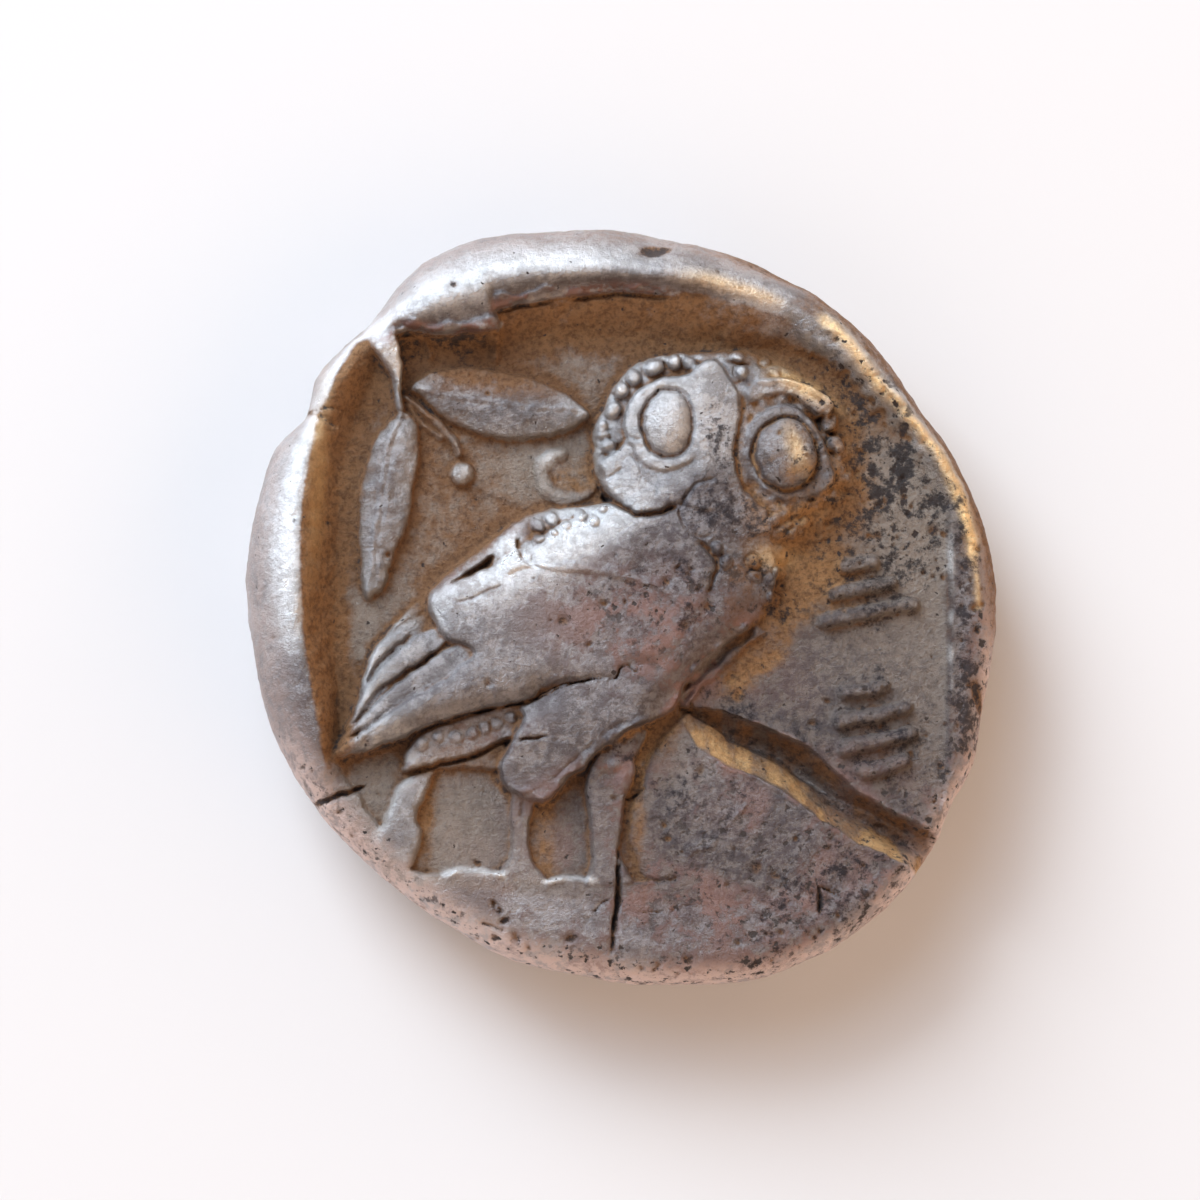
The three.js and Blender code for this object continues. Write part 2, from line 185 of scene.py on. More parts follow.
def around(points, reach):
    """The part of the plan within reach of the points."""
    low = np.array(points, float).min(0) - reach
    high = np.array(points, float).max(0) + reach
    columns = slice(max(0, int((low[0] + HALF) / STEP)), int((high[0] + HALF) / STEP) + 2)
    rows = slice(max(0, int((low[1] + HALF) / STEP)), int((high[1] + HALF) / STEP) + 2)
    return rows, columns


def to_span(x, y, start, end):
    """Distance to a straight span, and where along it the nearest place lies."""
    run_x, run_y = end[0] - start[0], end[1] - start[1]
    length_squared = max(run_x**2 + run_y**2, 1e-12)
    share = np.clip(((x - start[0]) * run_x + (y - start[1]) * run_y) / length_squared, 0, 1)
    return np.hypot(x - start[0] - run_x * share, y - start[1] - run_y * share), share


def to_line(line, window=WHOLE):
    """Distance to a line of points, and the share of its length at the nearest place."""
    x, y = HAND_X[window], HAND_Y[window]
    lengths = np.hypot(*np.diff(line, axis=0).T)
    starts = np.concatenate([[0], np.cumsum(lengths)])
    nearest = np.full(x.shape, np.inf)
    share = np.zeros(x.shape)
    for index, (start, end) in enumerate(zip(line, line[1:])):
        distance, part = to_span(x, y, start, end)
        closer = distance < nearest
        nearest[closer] = distance[closer]
        share[closer] = (starts[index] + part[closer] * lengths[index]) / starts[-1]
    return nearest, share


def within(outline, window=WHOLE):
    """Distance inside a closed outline: positive in it, negative outside it."""
    x, y = HAND_X[window], HAND_Y[window]
    nearest = np.full(x.shape, np.inf)
    inside = np.zeros(x.shape, bool)
    for start, end in zip(outline, np.roll(outline, -1, axis=0)):
        distance, _ = to_span(x, y, start, end)
        nearest = np.minimum(nearest, distance)
        if start[1] != end[1]:
            crossing = (start[1] > y) != (end[1] > y)
            reach = (end[0] - start[0]) * (y - start[1]) / (end[1] - start[1]) + start[0]
            inside ^= crossing & (x < reach)
    return np.where(inside, nearest, -nearest)


def round_table(table):
    """A function of the angle in degrees that runs smoothly through a table round the coin."""
    angles = np.array([row[0] for row in table], float)
    values = np.array([row[1] for row in table], float)
    angles = np.concatenate([angles[-2:] - 360, angles, angles[:3] + 360])
    values = np.concatenate([values[-2:], values, values[:3]])
    slopes = np.gradient(values, angles)

    def value_at(degrees):
        turned = np.mod(degrees, 360)
        left = np.clip(np.searchsorted(angles, turned, side="right") - 1, 0, len(angles) - 2)
        span = angles[left + 1] - angles[left]
        share = (turned - angles[left]) / span
        start = (1 + 2 * share) * (1 - share) ** 2 * values[left]
        end = share**2 * (3 - 2 * share) * values[left + 1]
        pull = share * (1 - share) ** 2 * span * slopes[left]
        return start + end + pull - share**2 * (1 - share) * span * slopes[left + 1]

    return value_at


def round_outline(corners):
    """A function of the angle that gives an outline's distance from the middle."""
    closed = np.vstack([corners, corners[:1]])
    steps = np.linspace(0, 1, 24, endpoint=False)[:, None]
    points = np.vstack([mix(start, end, steps) for start, end in zip(closed, closed[1:])])
    angles = np.mod(np.degrees(np.arctan2(points[:, 1], points[:, 0])), 360)
    order = np.argsort(angles)
    radii = np.hypot(*points.T)[order]
    return lambda degrees: np.interp(np.mod(degrees, 360), angles[order], radii, period=360)


# ---------------------------------------------------------------- how forms are cut and raised


def pillow(share, fullness=2.1):
    """0 at a form's outline, rising steeply and rounding over to 1 at the end of its shoulder."""
    return (1 - (1 - np.clip(share, 0, 1)) ** fullness) ** (1 / fullness)


def join(lower, upper, softness):
    """The higher of two surfaces, with a small fillet where they meet."""
    share = np.clip(0.5 + 0.5 * (upper - lower) / softness, 0, 1)
    return mix(lower, upper, share) + softness * share * (1 - share)


def raise_form(z, outline, rise, shoulder, crown=0.0, softness=0.05):
    """Raises a rounded form inside an outline; crown lifts its middle further."""
    line = spline(outline, closed=True)
    window = around(line, 0.25)
    depth = within(line, window)
    top = rise * pillow(depth / shoulder) + crown * smoothstep(0, 3 * shoulder, depth)
    top = np.where(depth > 0, top, 4 * depth)
    z[window] = join(z[window], top, softness)


def raise_bar(z, line, start_width, end_width, rise, softness=0.05):
    """Raises a round-backed bar along a line."""
    window = around(line, max(start_width, end_width))
    distance, share = to_line(np.array(line, float), window)
    half = mix(start_width, end_width, share) / 2
    top = rise * pillow(1 - distance / half) - 4 * np.maximum(distance - half, 0)
    z[window] = join(z[window], top, softness)


def add_bar(z, line, start_width, end_width, rise, sway=(0, 0)):
    """Adds a ridge on whatever lies below it; sway is a pair of maps that make it wander."""
    window = around(line, 2 * max(start_width, end_width))
    x, y = (np.broadcast_to(field, X.shape)[window] for field in sway)
    distance, share = to_line(np.array(line, float), window)
    distance = np.abs(distance + x + y)
    half = mix(start_width, end_width, share) / 2
    ends = smoothstep(0, 0.04, share) * smoothstep(0, 0.04, 1 - share)
    z[window] += rise * ends * pillow(1 - distance / half)


def raise_bead(z, centre, radius, rise, moat=0.05):
    """Adds a small round bead on whatever lies below it, with a moat round it."""
    window = around([centre], 2 * radius)
    distance = np.hypot(HAND_X[window] - centre[0], HAND_Y[window] - centre[1]) / radius
    dome = rise * np.clip(1 - distance**3.5, 0, 1) ** 0.6
    z[window] += dome - moat * near(distance - 1.12, 0.2)


def cut_groove(z, line, width, depth, ends=0.12, sharp=False):
    """Cuts a groove that thins out towards both ends of its line."""
    window = around(line, 3 * width)
    distance, share = to_line(np.array(line, float), window)
    taper = smoothstep(0, ends, share) * smoothstep(0, ends, 1 - share)
    half = width / 2 * (0.35 + 0.65 * taper)
    across = np.clip(1 - distance / half, 0, 1) if sharp else near(distance, half)
    z[window] -= depth * taper * across


def crack(z, line, width, depth, seed):
    """Tears the metal open along a wandering line."""
    window = around(line, 1.0)
    sway = 0.05 * cloud(0.12, seed)[window]
    distance, share = to_line(np.array(line, float), window)
    distance = np.abs(distance + sway * 0.6)
    taper = np.sqrt(np.clip(4 * share * (1 - share), 0, 1)) * (1 + 0.35 * sway / 0.05)
    half = np.maximum(width / 2 * taper, 1e-3)
    z[window] -= depth * np.clip(1 - distance / half, 0, 1) ** 0.6 * np.clip(taper, 0, 1)


def ellipse_radius(centre, radius_x, radius_y, tilt, window):
    """1 on an ellipse, less inside it; tilt is in degrees."""
    turn = math.radians(tilt)
    x, y = HAND_X[window] - centre[0], HAND_Y[window] - centre[1]
    along = x * math.cos(turn) + y * math.sin(turn)
    across = -x * math.sin(turn) + y * math.cos(turn)
    return np.hypot(along / radius_x, across / radius_y)


# ---------------------------------------------------------------- the owl side

rim_radius = round_table(RIM_RADIUS)
lip_height = round_table(LIP_HEIGHT)
edge_round = round_table(EDGE_ROUND)
lip_crest = round_table(LIP_CREST)


def flan_top():
    """The sunk square, its walls, and the lip and plain strip round it, above the field."""
    bearing = np.degrees(np.arctan2(Y, X))
    turned = np.mod(bearing, 360)
    radius = np.hypot(X, Y)
    hand_radius = np.hypot(HAND_X, HAND_Y) + 0.03 * cloud(0.12, 21)
    foot = round_outline(np.array(SQUARE_FLOOR))(bearing)
    inner = round_outline(np.array(LIP_INNER))(bearing)
    rim = rim_radius(bearing)
    height = lip_height(bearing)
    wall = np.clip((hand_radius - foot) / np.maximum(inner - foot, 0.1), 0, 1)
    out = np.clip((radius - inner) / np.maximum(rim - inner, 0.3), 0, 1)
    crest = lip_crest(bearing)
    rolled = smoothstep(66, 84, turned) * smoothstep(0, 8, 136 - turned)
    inner_height = height * mix(0.9, 0.56, rolled)
    rise = np.sin(0.5 * math.pi * np.clip(out / crest, 0, 1)) ** mix(1.0, 1.2, rolled)
    fall = 1 - 0.3 * np.clip((out - crest) / (1 - crest), 0, 1) ** 1.7
    roll = np.where(out < crest, mix(inner_height, height, rise), height * fall)
    slope = inner_height * (0.45 * smoothstep(0, 1, wall) + 0.55 * wall)
    lip = np.where(hand_radius < inner, slope, roll)
    strip = EXERGUE * smoothstep(0, 0.16, hand_radius - foot)
    plain = smoothstep(209, 216, turned) * smoothstep(0, 8, 326 - turned)
    z = mix(lip, strip, plain)
    fall_away = smoothstep(30, 12, np.minimum(turned, 360 - turned)) * out
    return z - 0.12 * fall_away * (1 - plain)


# Lines along the lips: the right lip's golden crest, and the inner edge's two thin folded flaps.
GOLDEN_EDGE = spline([(6.6, 9.45), (7.05, 9.05), (8.49, 7.19), (10.26, 5.33), (11.27, 3.44), (11.54, 2.0)])
LOWER_FLAP = spline([(-7.5, 8.9), (-6.9, 8.98), (-5.88, 8.87), (-5.0, 8.95), (-4.4, 9.08), (-4.0, 9.1)])
UPPER_FLAP = spline([
    (-4.25, 9.62), (-3.6, 9.82), (-2.94, 9.98), (-1.85, 10.22), (-0.11, 10.37), (1.6, 10.32),
])


def flan_flaws(z):
    """Where the lip was folded and creased as the die bit."""
    for crease, width in (([(-9.1, 5.6), (-10.9, 6.9)], 0.35), ([(-7.6, 8.6), (-8.9, 9.9)], 0.3)):
        cut_groove(z, crease, width, 0.4, ends=0.3, sharp=True)
    tongue = [
        (-8.5, 8.87), (-8.3, 9.4), (-7.9, 9.65), (-7.45, 9.4), (-7.3, 8.6), (-7.22, 8.1), (-7.15, 7.6),
        (-7.1, 7.1), (-7.32, 7.1), (-7.5, 7.5), (-7.88, 7.89), (-8.2, 8.3),
    ]
    window = around(tongue, 0.3)
    depth = within(np.array(tongue), window)
    top = np.interp(Y[window], [7.2, 8.4, 9.4], [0.6, 0.95, 1.1]) * pillow(depth / 0.14)
    z[window] = join(z[window], np.where(depth > 0, top, 4 * depth), 0.04)
    for rib in ([(-6.37, 8.75), (-6.3, 8.4), (-6.15, 7.8)], [(-4.14, 9.05), (-4.12, 8.5), (-4.0, 7.9)]):
        cut_groove(z, rib, 0.24, -0.2, ends=0.3)
        cut_groove(z, np.array(rib) + (-0.3, 0), 0.26, 0.18, ends=0.3)
    hollow = around([(-6.9, 8.0)], 1.0)
    z[hollow] -= 0.2 * np.exp(-(ellipse_radius((-6.86, 8.2), 0.36, 0.34, 60, hollow) ** 4))
    add_bar(z, GOLDEN_EDGE, 0.75, 0.4, 0.17, (0.06 * cloud(0.25, 64), 0))
    for place in ((8.3, 7.5), (9.2, 6.45), (10.05, 5.6), (10.75, 4.55), (11.15, 3.75)):
        start = np.array(place)
        crack(z, [start - (0.3, 0.1), start + (0.3, 0.3)], 0.08, 0.12, 65)
    flaps = ((LOWER_FLAP, (0.3, 0.42), 0.24, 23), (UPPER_FLAP, (0.3, 0.08), 0.2, 24))
    for line, widths, rise, seed in flaps:
        sway = (0.06 * cloud(0.2, seed), 0.06 * cloud(0.2, seed + 10))
        add_bar(z, line, *widths, rise, sway)
        cut_groove(z, line - (0.0, 0.19), 0.12, 0.3, ends=0.05)


def lip_dents(z, seed=68):
    """Short dents and scratches on the rolled lip."""
    rng = np.random.default_rng(seed)
    for _ in range(LIP_DENTS):
        bearing = rng.uniform(84, 200)
        out = rng.uniform(0.3, 0.8)
        radius = rim_radius(bearing) - (1 - out) * 1.9
        start = radius * np.array([math.cos(math.radians(bearing)), math.sin(math.radians(bearing))])
        slant = math.radians(rng.uniform(15, 60))
        reach = rng.uniform(0.15, 0.5) * np.array([math.cos(slant), math.sin(slant)])
        width, depth = rng.uniform(0.05, 0.12), rng.uniform(0.03, 0.07)
        cut_groove(z, [start - reach, start + reach], width, depth, ends=0.3)


def ground_beside_leg(z):
    """The plain ground stands up beside the groove along the right leg, as far as the chisel cut."""
    foot = spline([
        (1.87, -3.7), (1.3, -4.35), (0.98, -4.95), (0.74, -5.66), (0.42, -6.29), (0.24, -6.92), (0.3, -7.54),
        (0.5, -8.17), (0.7, -8.8), (1.3, -8.93), (1.8, -8.78),
    ])
    outer_side = [(2.2, -8.9), (2.2, -12.5), (9, -12.5), (11.5, -8.5), (9.9, -7.5), (4.6, -4.7), (2.3, -3.4)]
    outline = np.vstack([foot, outer_side])
    window = around(outline, 0.3)
    depth = within(outline, window)
    leg_side, _ = to_line(foot, window)
    swell = np.exp(-(ellipse_radius((4.0, -6.4), 3.4, 1.9, -30, window) ** 2))
    top = EXERGUE * pillow(leg_side / 0.3) + 0.1 * swell * smoothstep(0.2, 1.4, leg_side)
    top = np.where(depth > 0, top, 3 * depth)
    z[window] = np.maximum(z[window], top)
    flake = spline([(2.1, -8.1), (2.5, -7.8), (2.9, -7.65), (3.3, -7.2), (3.8, -6.75), (4.1, -6.2)])
    add_bar(z, flake, 0.24, 0.12, 0.08, (0.06 * cloud(0.16, 50), 0))


def raise_leaf(z, outline, rib, rise):
    """A leaf that falls from a fine raised rib to both its edges."""
    line = spline(outline, closed=True)
    window = around(line, 0.25)
    depth = within(line, window)
    from_rib, share = to_line(rib, window)
    across = from_rib / np.maximum(from_rib + np.maximum(depth, 0), 1e-3)
    blade = rise * (1 - 0.42 * across**1.6) * pillow(depth / 0.12)
    blade += 0.02 * cloud(0.1, 25)[window]
    ends = smoothstep(0, 0.08, share) * smoothstep(0, 0.1, 1 - share)
    rib_line = 0.018 * near(from_rib, 0.06) - 0.04 * near(from_rib - 0.14, 0.06)
    top = np.where(depth > 0, blade + rib_line * ends, 4 * depth)
    z[window] = join(z[window], top, 0.05)


def sprig(z):
    """Two leaves, the forked stem and a berry."""
    stem_top = (-7.28, 7.1)
    berry = (-5.16, 4.31)
    upper_leaf = [
        (-6.85, 7.1), (-6.21, 7.56), (-5.12, 7.78), (-3.81, 7.69), (-2.5, 7.31), (-1.63, 6.91),
        (-1.03, 6.36), (-1.2, 6.03), (-1.85, 5.71), (-2.72, 5.49), (-3.81, 5.36), (-4.9, 5.63),
        (-5.77, 6.14), (-6.4, 6.7),
    ]
    upper_rib = spline([(-6.85, 7.08), (-5.12, 6.74), (-3.38, 6.56), (-1.85, 6.5), (-1.1, 6.35)])
    lower_leaf = [
        (-7.25, 6.3), (-7.73, 5.82), (-8.17, 5.05), (-8.44, 4.18), (-8.6, 2.88), (-8.52, 1.4),
        (-8.25, 0.17), (-7.9, 0.35), (-7.5, 1.1), (-6.92, 2.7), (-6.64, 4.3), (-6.59, 5.27),
        (-6.75, 6.05),
    ]
    lower_rib = spline([(-7.25, 6.3), (-7.55, 5.3), (-7.8, 3.7), (-8.1, 1.7), (-8.2, 0.4)])
    raise_leaf(z, upper_leaf, upper_rib, 0.48)
    raise_leaf(z, lower_leaf, lower_rib, 0.48)
    cut_groove(z, [(-7.8, 6.12), (-7.3, 6.02), (-6.65, 6.1)], 0.1, 0.1)
    raise_bar(z, [(-7.38, 7.5), stem_top], 0.3, 0.3, 0.5)
    raise_bar(z, [stem_top, (-7.22, 6.4)], 0.26, 0.4, 0.45)
    raise_bar(z, [(-7.0, 6.8), (-6.5, 6.4), (-5.95, 5.98)], 0.16, 0.36, 0.3)
    raise_bar(z, [(-5.9, 5.95), (-5.5, 5.4), (-5.32, 4.95)], 0.36, 0.22, 0.28)
    raise_bar(z, [(-6.9, 6.5), (-6.5, 5.9), (-5.9, 5.55)], 0.14, 0.24, 0.2)
    raise_bar(z, [(-4.75, 3.95), (-4.3, 3.72), (-3.6, 3.37)], 0.3, 0.16, 0.08)
    raise_bead(z, berry, 0.42, 0.42)


def crescent(z):
    """A small waning moon between the sprig and the owl."""
    outer_arc = spline([(-2.0, 5.05), (-2.4, 4.84), (-2.63, 4.3), (-2.35, 3.78), (-1.85, 3.55)])
    inner_arc = spline([(-1.95, 3.58), (-1.5, 3.6), (-1.05, 3.82), (-0.78, 4.2)])
    raise_bar(z, outer_arc, 0.5, 0.62, 0.19, softness=0.1)
    raise_bar(z, inner_arc, 0.4, 0.26, 0.11, softness=0.08)
    window = around([(-1.7, 4.35)], 1.2)
    hollow = ellipse_radius((-1.66, 4.4), 0.7, 0.55, 20, window)
    z[window] -= 0.1 * np.exp(-(hollow**4))


# Outlines of the owl's body, in millimetres from the middle of the flan.
TRUNK = [
    (-0.65, 3.43), (-1.96, 3.3), (-3.27, 2.88), (-4.58, 1.92), (-5.88, 0.92), (-6.4, 0.2),
    (-5.9, -1.0), (-4.4, -2.4), (-3.4, -3.3), (-1.9, -3.6), (0.6, -3.45), (1.5, -3.1),
    (2.61, -1.95), (3.69, -1.05), (4.7, -0.2), (4.98, 0.6), (5.1, 1.4), (4.95, 2.2), (4.6, 2.9),
    (3.2, 3.6), (1.6, 4.0), (0.3, 3.8),
]
WING = [
    (-9.15, -5.05), (-8.46, -4.8), (-7.41, -4.5), (-6.58, -4.2), (-5.49, -3.83), (-4.57, -3.47),
    (-3.19, -3.14), (-2.73, -2.92), (-2.0, -2.6), (-1.05, -2.42), (-0.1, -2.45), (0.2, -2.05),
    (0.8, -2.0), (1.6, -1.5), (2.5, -0.6), (2.9, 0.25), (3.09, 0.95), (3.0, 1.45), (2.6, 2.1),
    (2.1, 2.75), (1.7, 3.2), (0.9, 3.5), (-0.4, 3.4), (-1.5, 3.0), (-2.6, 2.45), (-3.4, 1.95),
    (-4.4, 1.3), (-5.9, 0.7), (-6.36, 0.1), (-6.2, -0.56), (-5.7, -1.18), (-4.95, -1.6),
    (-5.6, -2.2), (-7.6, -3.5), (-8.9, -4.45),
]
THIGH = [
    (-3.25, -3.2), (-3.31, -3.7), (-3.58, -4.25), (-3.78, -4.8), (-4.01, -5.43), (-3.78, -5.9),
    (-3.31, -6.21), (-2.68, -6.37), (-2.29, -6.25), (-1.9, -5.9), (-1.58, -5.54), (-1.19, -5.31),
    (-0.88, -4.92), (-0.41, -4.56), (0.0, -4.25), (0.46, -4.0), (0.93, -3.78), (1.7, -3.3), (1.9, -2.0),
    (0.0, -2.0), (-1.2, -2.3), (-2.3, -2.7),
]


def feathers(z):
    """The flight feathers, fanned from under the wing's blunt end to its tip."""
    fan = [
        # outline and rise of each feather; the first lies under them all
        ([(-6.45, 0.1), (-7.18, -0.5), (-7.87, -1.32), (-8.24, -2.07), (-8.5, -2.9), (-8.8, -3.7),
          (-9.1, -4.5), (-9.0, -4.9), (-3.3, -3.1), (-4.4, -1.45), (-5.95, -0.75)], 0.52),
        ([(-6.45, 0.1), (-7.18, -0.5), (-7.87, -1.32), (-8.24, -2.07), (-8.46, -2.85),
          (-8.2, -2.75), (-7.4, -1.6), (-6.2, -0.55)], 0.56),
        ([(-5.95, -0.75), (-6.6, -0.95), (-7.5, -1.75), (-8.3, -2.7), (-8.75, -3.6), (-9.0, -4.2),
          (-8.3, -3.5), (-6.9, -2.25), (-5.6, -1.2)], 0.7),
        ([(-5.4, -1.3), (-6.2, -1.7), (-7.6, -2.85), (-8.6, -3.8), (-9.2, -4.6), (-8.6, -4.3),
          (-7.2, -3.4), (-5.6, -2.6), (-4.2, -2.0), (-4.4, -1.45)], 0.84),
        ([(-4.3, -2.0), (-5.6, -2.55), (-7.0, -3.25), (-8.4, -4.05), (-9.25, -4.7), (-9.15, -5.05),
          (-8.46, -4.8), (-7.41, -4.5), (-6.58, -4.2), (-5.49, -3.83), (-4.57, -3.47),
          (-3.19, -3.14), (-2.4, -2.2)], 0.92),
    ]
    for outline, rise in fan:
        raise_form(z, outline, rise, 0.12, crown=0.03, softness=0.02)
    for line, width, depth in (
        ([(-7.6, -1.05), (-7.1, -0.75), (-6.35, -0.2)], 0.09, 0.12),
        ([(-8.25, -2.65), (-7.91, -2.09), (-7.35, -1.46), (-6.72, -0.98)], 0.11, 0.18),
        ([(-8.4, -3.42), (-7.91, -2.93), (-7.35, -2.51), (-6.51, -1.88), (-5.85, -1.42)], 0.1, 0.18),
        ([(-9.1, -4.46), (-8.19, -4.04), (-7.49, -3.56), (-6.79, -3.14), (-5.95, -2.79), (-5.12, -2.44),
          (-4.56, -2.16), (-4.05, -2.02)], 0.08, 0.18),
    ):
        cut_groove(z, spline(line), width, depth, ends=0.08)


FEET_LEFT = spline([(-5.8, -8.75), (-5.0, -8.6), (-3.9, -8.75)])
FEET_RIGHT = spline([(-2.56, -8.98), (-1.97, -8.8), (-1.0, -8.84)])
TAIL_EDGE = spline([(-6.75, -5.55), (-7.35, -6.1), (-7.65, -6.8), (-7.95, -7.6)])
BACK = [(-6.45, 0.1), (-5.88, 0.95), (-4.58, 1.95), (-3.27, 2.9), (-1.96, 3.42), (-1.2, 3.7)]


def owl_body(z):
    """The trunk, the feathers, the wing and the thigh, each one over the last."""
    body = np.zeros_like(z)
    raise_form(body, TRUNK, 0.98, 0.2, crown=0.04)
    # The breast is low on its right, where it is worn into the field.
    worn_breast = zone((5.0, 1.1), 1.5, 1.9, -12)
    body *= mix(0.84, 1.0, smoothstep(-2.5, 0.5, X)) * (1 - 0.38 * worn_breast)
    feathers(body)
    raise_form(body, WING, 1.04, 0.18, crown=0.1, softness=0.04)
    to_back, _ = to_line(spline(BACK))
    body -= 0.42 * near(to_back, 1.15) * smoothstep(0.05, 0.6, body)
    to_shoulder = ellipse_radius((-1.0, 1.75), 3.2, 1.0, 14, WHOLE)
    body += 0.1 * np.exp(-(to_shoulder**2)) * smoothstep(0.5, 0.9, body)
    thigh = np.zeros_like(z)
    raise_form(thigh, THIGH, 1.0, 0.15, crown=0.03)
    body = join(body, thigh * mix(0.55, 1.0, smoothstep(-6.6, -3.2, Y)), 0.03)
    wing_edge = [(-9.3, -5.1), (-7.4, -4.5), (-5.5, -3.85), (-3.2, -3.14), (-2.7, -2.92)]
    breast_edge = [(1.3, -3.4), (2.61, -1.95), (3.69, -1.05), (4.7, -0.2)]
    for edge, drop, width in ((wing_edge, 0.34, 0.55), (breast_edge, 0.42, 0.6)):
        body -= drop * near(to_line(spline(edge))[0], width) * smoothstep(0.1, 0.7, body)
    z[:] = join(z, np.where(body > 0.002, body, -1), 0.03)
    breast(z)
    back(z)
    lower_edges(z)


def breast(z):
    """The bridge of metal up to the head, the breast's groove and the wing's folded edge."""
    bridge = around([(4.3, 2.3)], 2.0)
    reach = ellipse_radius((4.3, 2.25), 1.35, 0.8, -20, bridge)
    z[bridge] = join(z[bridge], 0.6 * (1 - reach**3), 0.2)
    cut_groove(z, spline([(2.75, 0.2), (2.95, 0.85), (3.08, 1.25), (2.9, 1.7), (2.4, 2.2)]), 0.13, 0.2)
    fold = spline([
        (-2.9, 1.25), (-2.0, 1.2), (-1.3, 1.15), (-0.2, 0.95), (0.8, 0.7), (1.5, 0.3), (2.2, -0.25),
    ])
    add_bar(z, fold, 0.25, 0.4, 0.08, (0.05 * cloud(0.2, 26), 0))


def back(z):
    """A slot, an upright bar, cracks and rows of beads."""
    slot = [
        (-5.75, 0.42), (-5.5, 0.7), (-4.95, 1.12), (-4.35, 1.55), (-4.05, 1.62), (-4.25, 1.3),
        (-4.8, 0.95),
    ]
    window = around(slot, 0.3)
    z[window] -= 0.42 * smoothstep(-0.02, 0.1, within(np.array(slot), window))
    bar = [(-4.03, 2.2), (-3.45, 2.35), (-3.25, 1.7), (-2.95, 1.2), (-3.75, 0.95), (-3.98, 1.6)]
    window = around(bar, 0.3)
    z[window] += 0.1 * pillow(within(np.array(bar), window) / 0.12)
    crack(z, spline([(-3.38, 2.5), (-3.42, 2.07), (-3.2, 1.5), (-2.95, 1.25)]), 0.12, 0.3, 27)
    crack(z, spline([(-2.95, 1.9), (-2.9, 1.4), (-2.7, 1.15), (-2.35, 1.2)]), 0.07, 0.16, 28)
    back_beads = [
        (-2.79, 2.6, 0.25), (-2.25, 2.84, 0.23), (-2.79, 2.16, 0.21), (-1.34, 2.95, 0.21),
        (-0.62, 3.15, 0.16), (-0.95, 2.79, 0.2), (-1.8, 2.62, 0.17), (-2.3, 2.35, 0.16),
    ]
    for x, y, radius in back_beads:
        raise_bead(z, (x, y), radius, 0.13, moat=0.07)
    breast_beads = [
        (3.03, 1.88), (4.27, 1.45), (3.36, 1.42), (4.3, 0.95), (4.82, 0.91), (5.15, 1.25), (4.98, 0.36),
    ]
    for centre in breast_beads:
        raise_bead(z, centre, 0.23, 0.14, moat=0.07)
    cut_groove(z, spline([(-5.45, -0.1), (-4.6, 0.25), (-3.84, 0.68)]), 0.06, 0.12)


def lower_edges(z):
    """Two thin ragged flaps pushed up below the breast, and the thigh's ragged edge."""
    flap_lines = (
        ([(1.7, -3.1), (2.3, -2.35), (3.3, -1.35), (4.3, -0.45)], 29),
        ([(1.9, -3.2), (2.7, -2.35), (3.7, -1.5), (4.7, -0.6)], 30),
    )
    for line, seed in flap_lines:
        add_bar(z, spline(line), 0.3, 0.18, 0.18, (0.07 * cloud(0.18, seed), 0))
    ragged_edge = spline([
        (-3.6, -6.0), (-2.75, -6.22), (-2.1, -5.9), (-1.6, -5.42), (-0.9, -4.8), (0.0, -4.2), (0.9, -3.75),
    ])
    add_bar(z, ragged_edge, 0.16, 0.26, 0.1, (0.1 * cloud(0.18, 69), 0))
    crack(z, ragged_edge[6:] + (-0.1, 0.3), 0.07, 0.1, 74)


def undertail_and_tail(z):
    """The beaded band under the wing and the blunt tail below it."""
    covert = [
        (-6.95, -4.72), (-6.4, -4.2), (-4.9, -3.55), (-3.3, -3.0), (-3.2, -4.3), (-3.86, -4.44),
        (-4.64, -4.78), (-5.42, -5.05), (-6.21, -5.28), (-6.9, -5.35),
    ]
    lower_band = [
        (-7.2, -5.62), (-6.21, -5.38), (-5.42, -5.12), (-4.64, -4.86), (-3.8, -4.5), (-3.85, -5.35),
        (-4.9, -5.3), (-6.0, -5.38),
    ]
    tail = [
        (-6.05, -5.35), (-7.15, -5.75), (-7.46, -6.29), (-7.72, -6.8), (-7.9, -7.4), (-8.05, -7.9),
        (-7.3, -8.45), (-6.86, -8.5), (-6.5, -7.86), (-6.43, -7.39), (-6.56, -6.92), (-6.44, -6.37),
        (-6.15, -5.85),
    ]
    raise_form(z, covert, 0.42, 0.14)
    raise_form(z, lower_band, 0.26, 0.14, softness=0.04)
    raise_form(z, tail, 0.38, 0.26, crown=0.03)
    raise_bar(z, [(-6.55, -4.95), (-6.95, -5.35)], 0.42, 0.2, 0.46)
    beads = [
        (-3.6, -3.66), (-4.09, -3.88), (-4.5, -4.0), (-4.9, -4.15), (-5.42, -4.3), (-5.97, -4.4),
        (-6.48, -4.6),
    ]
    for centre in beads:
        raise_bead(z, centre, 0.2, 0.07, moat=0.06)
    band_line = [(-7.15, -5.54), (-6.21, -5.3), (-5.42, -5.08), (-4.64, -4.8), (-3.86, -4.46)]
    cut_groove(z, spline(band_line), 0.1, 0.18)


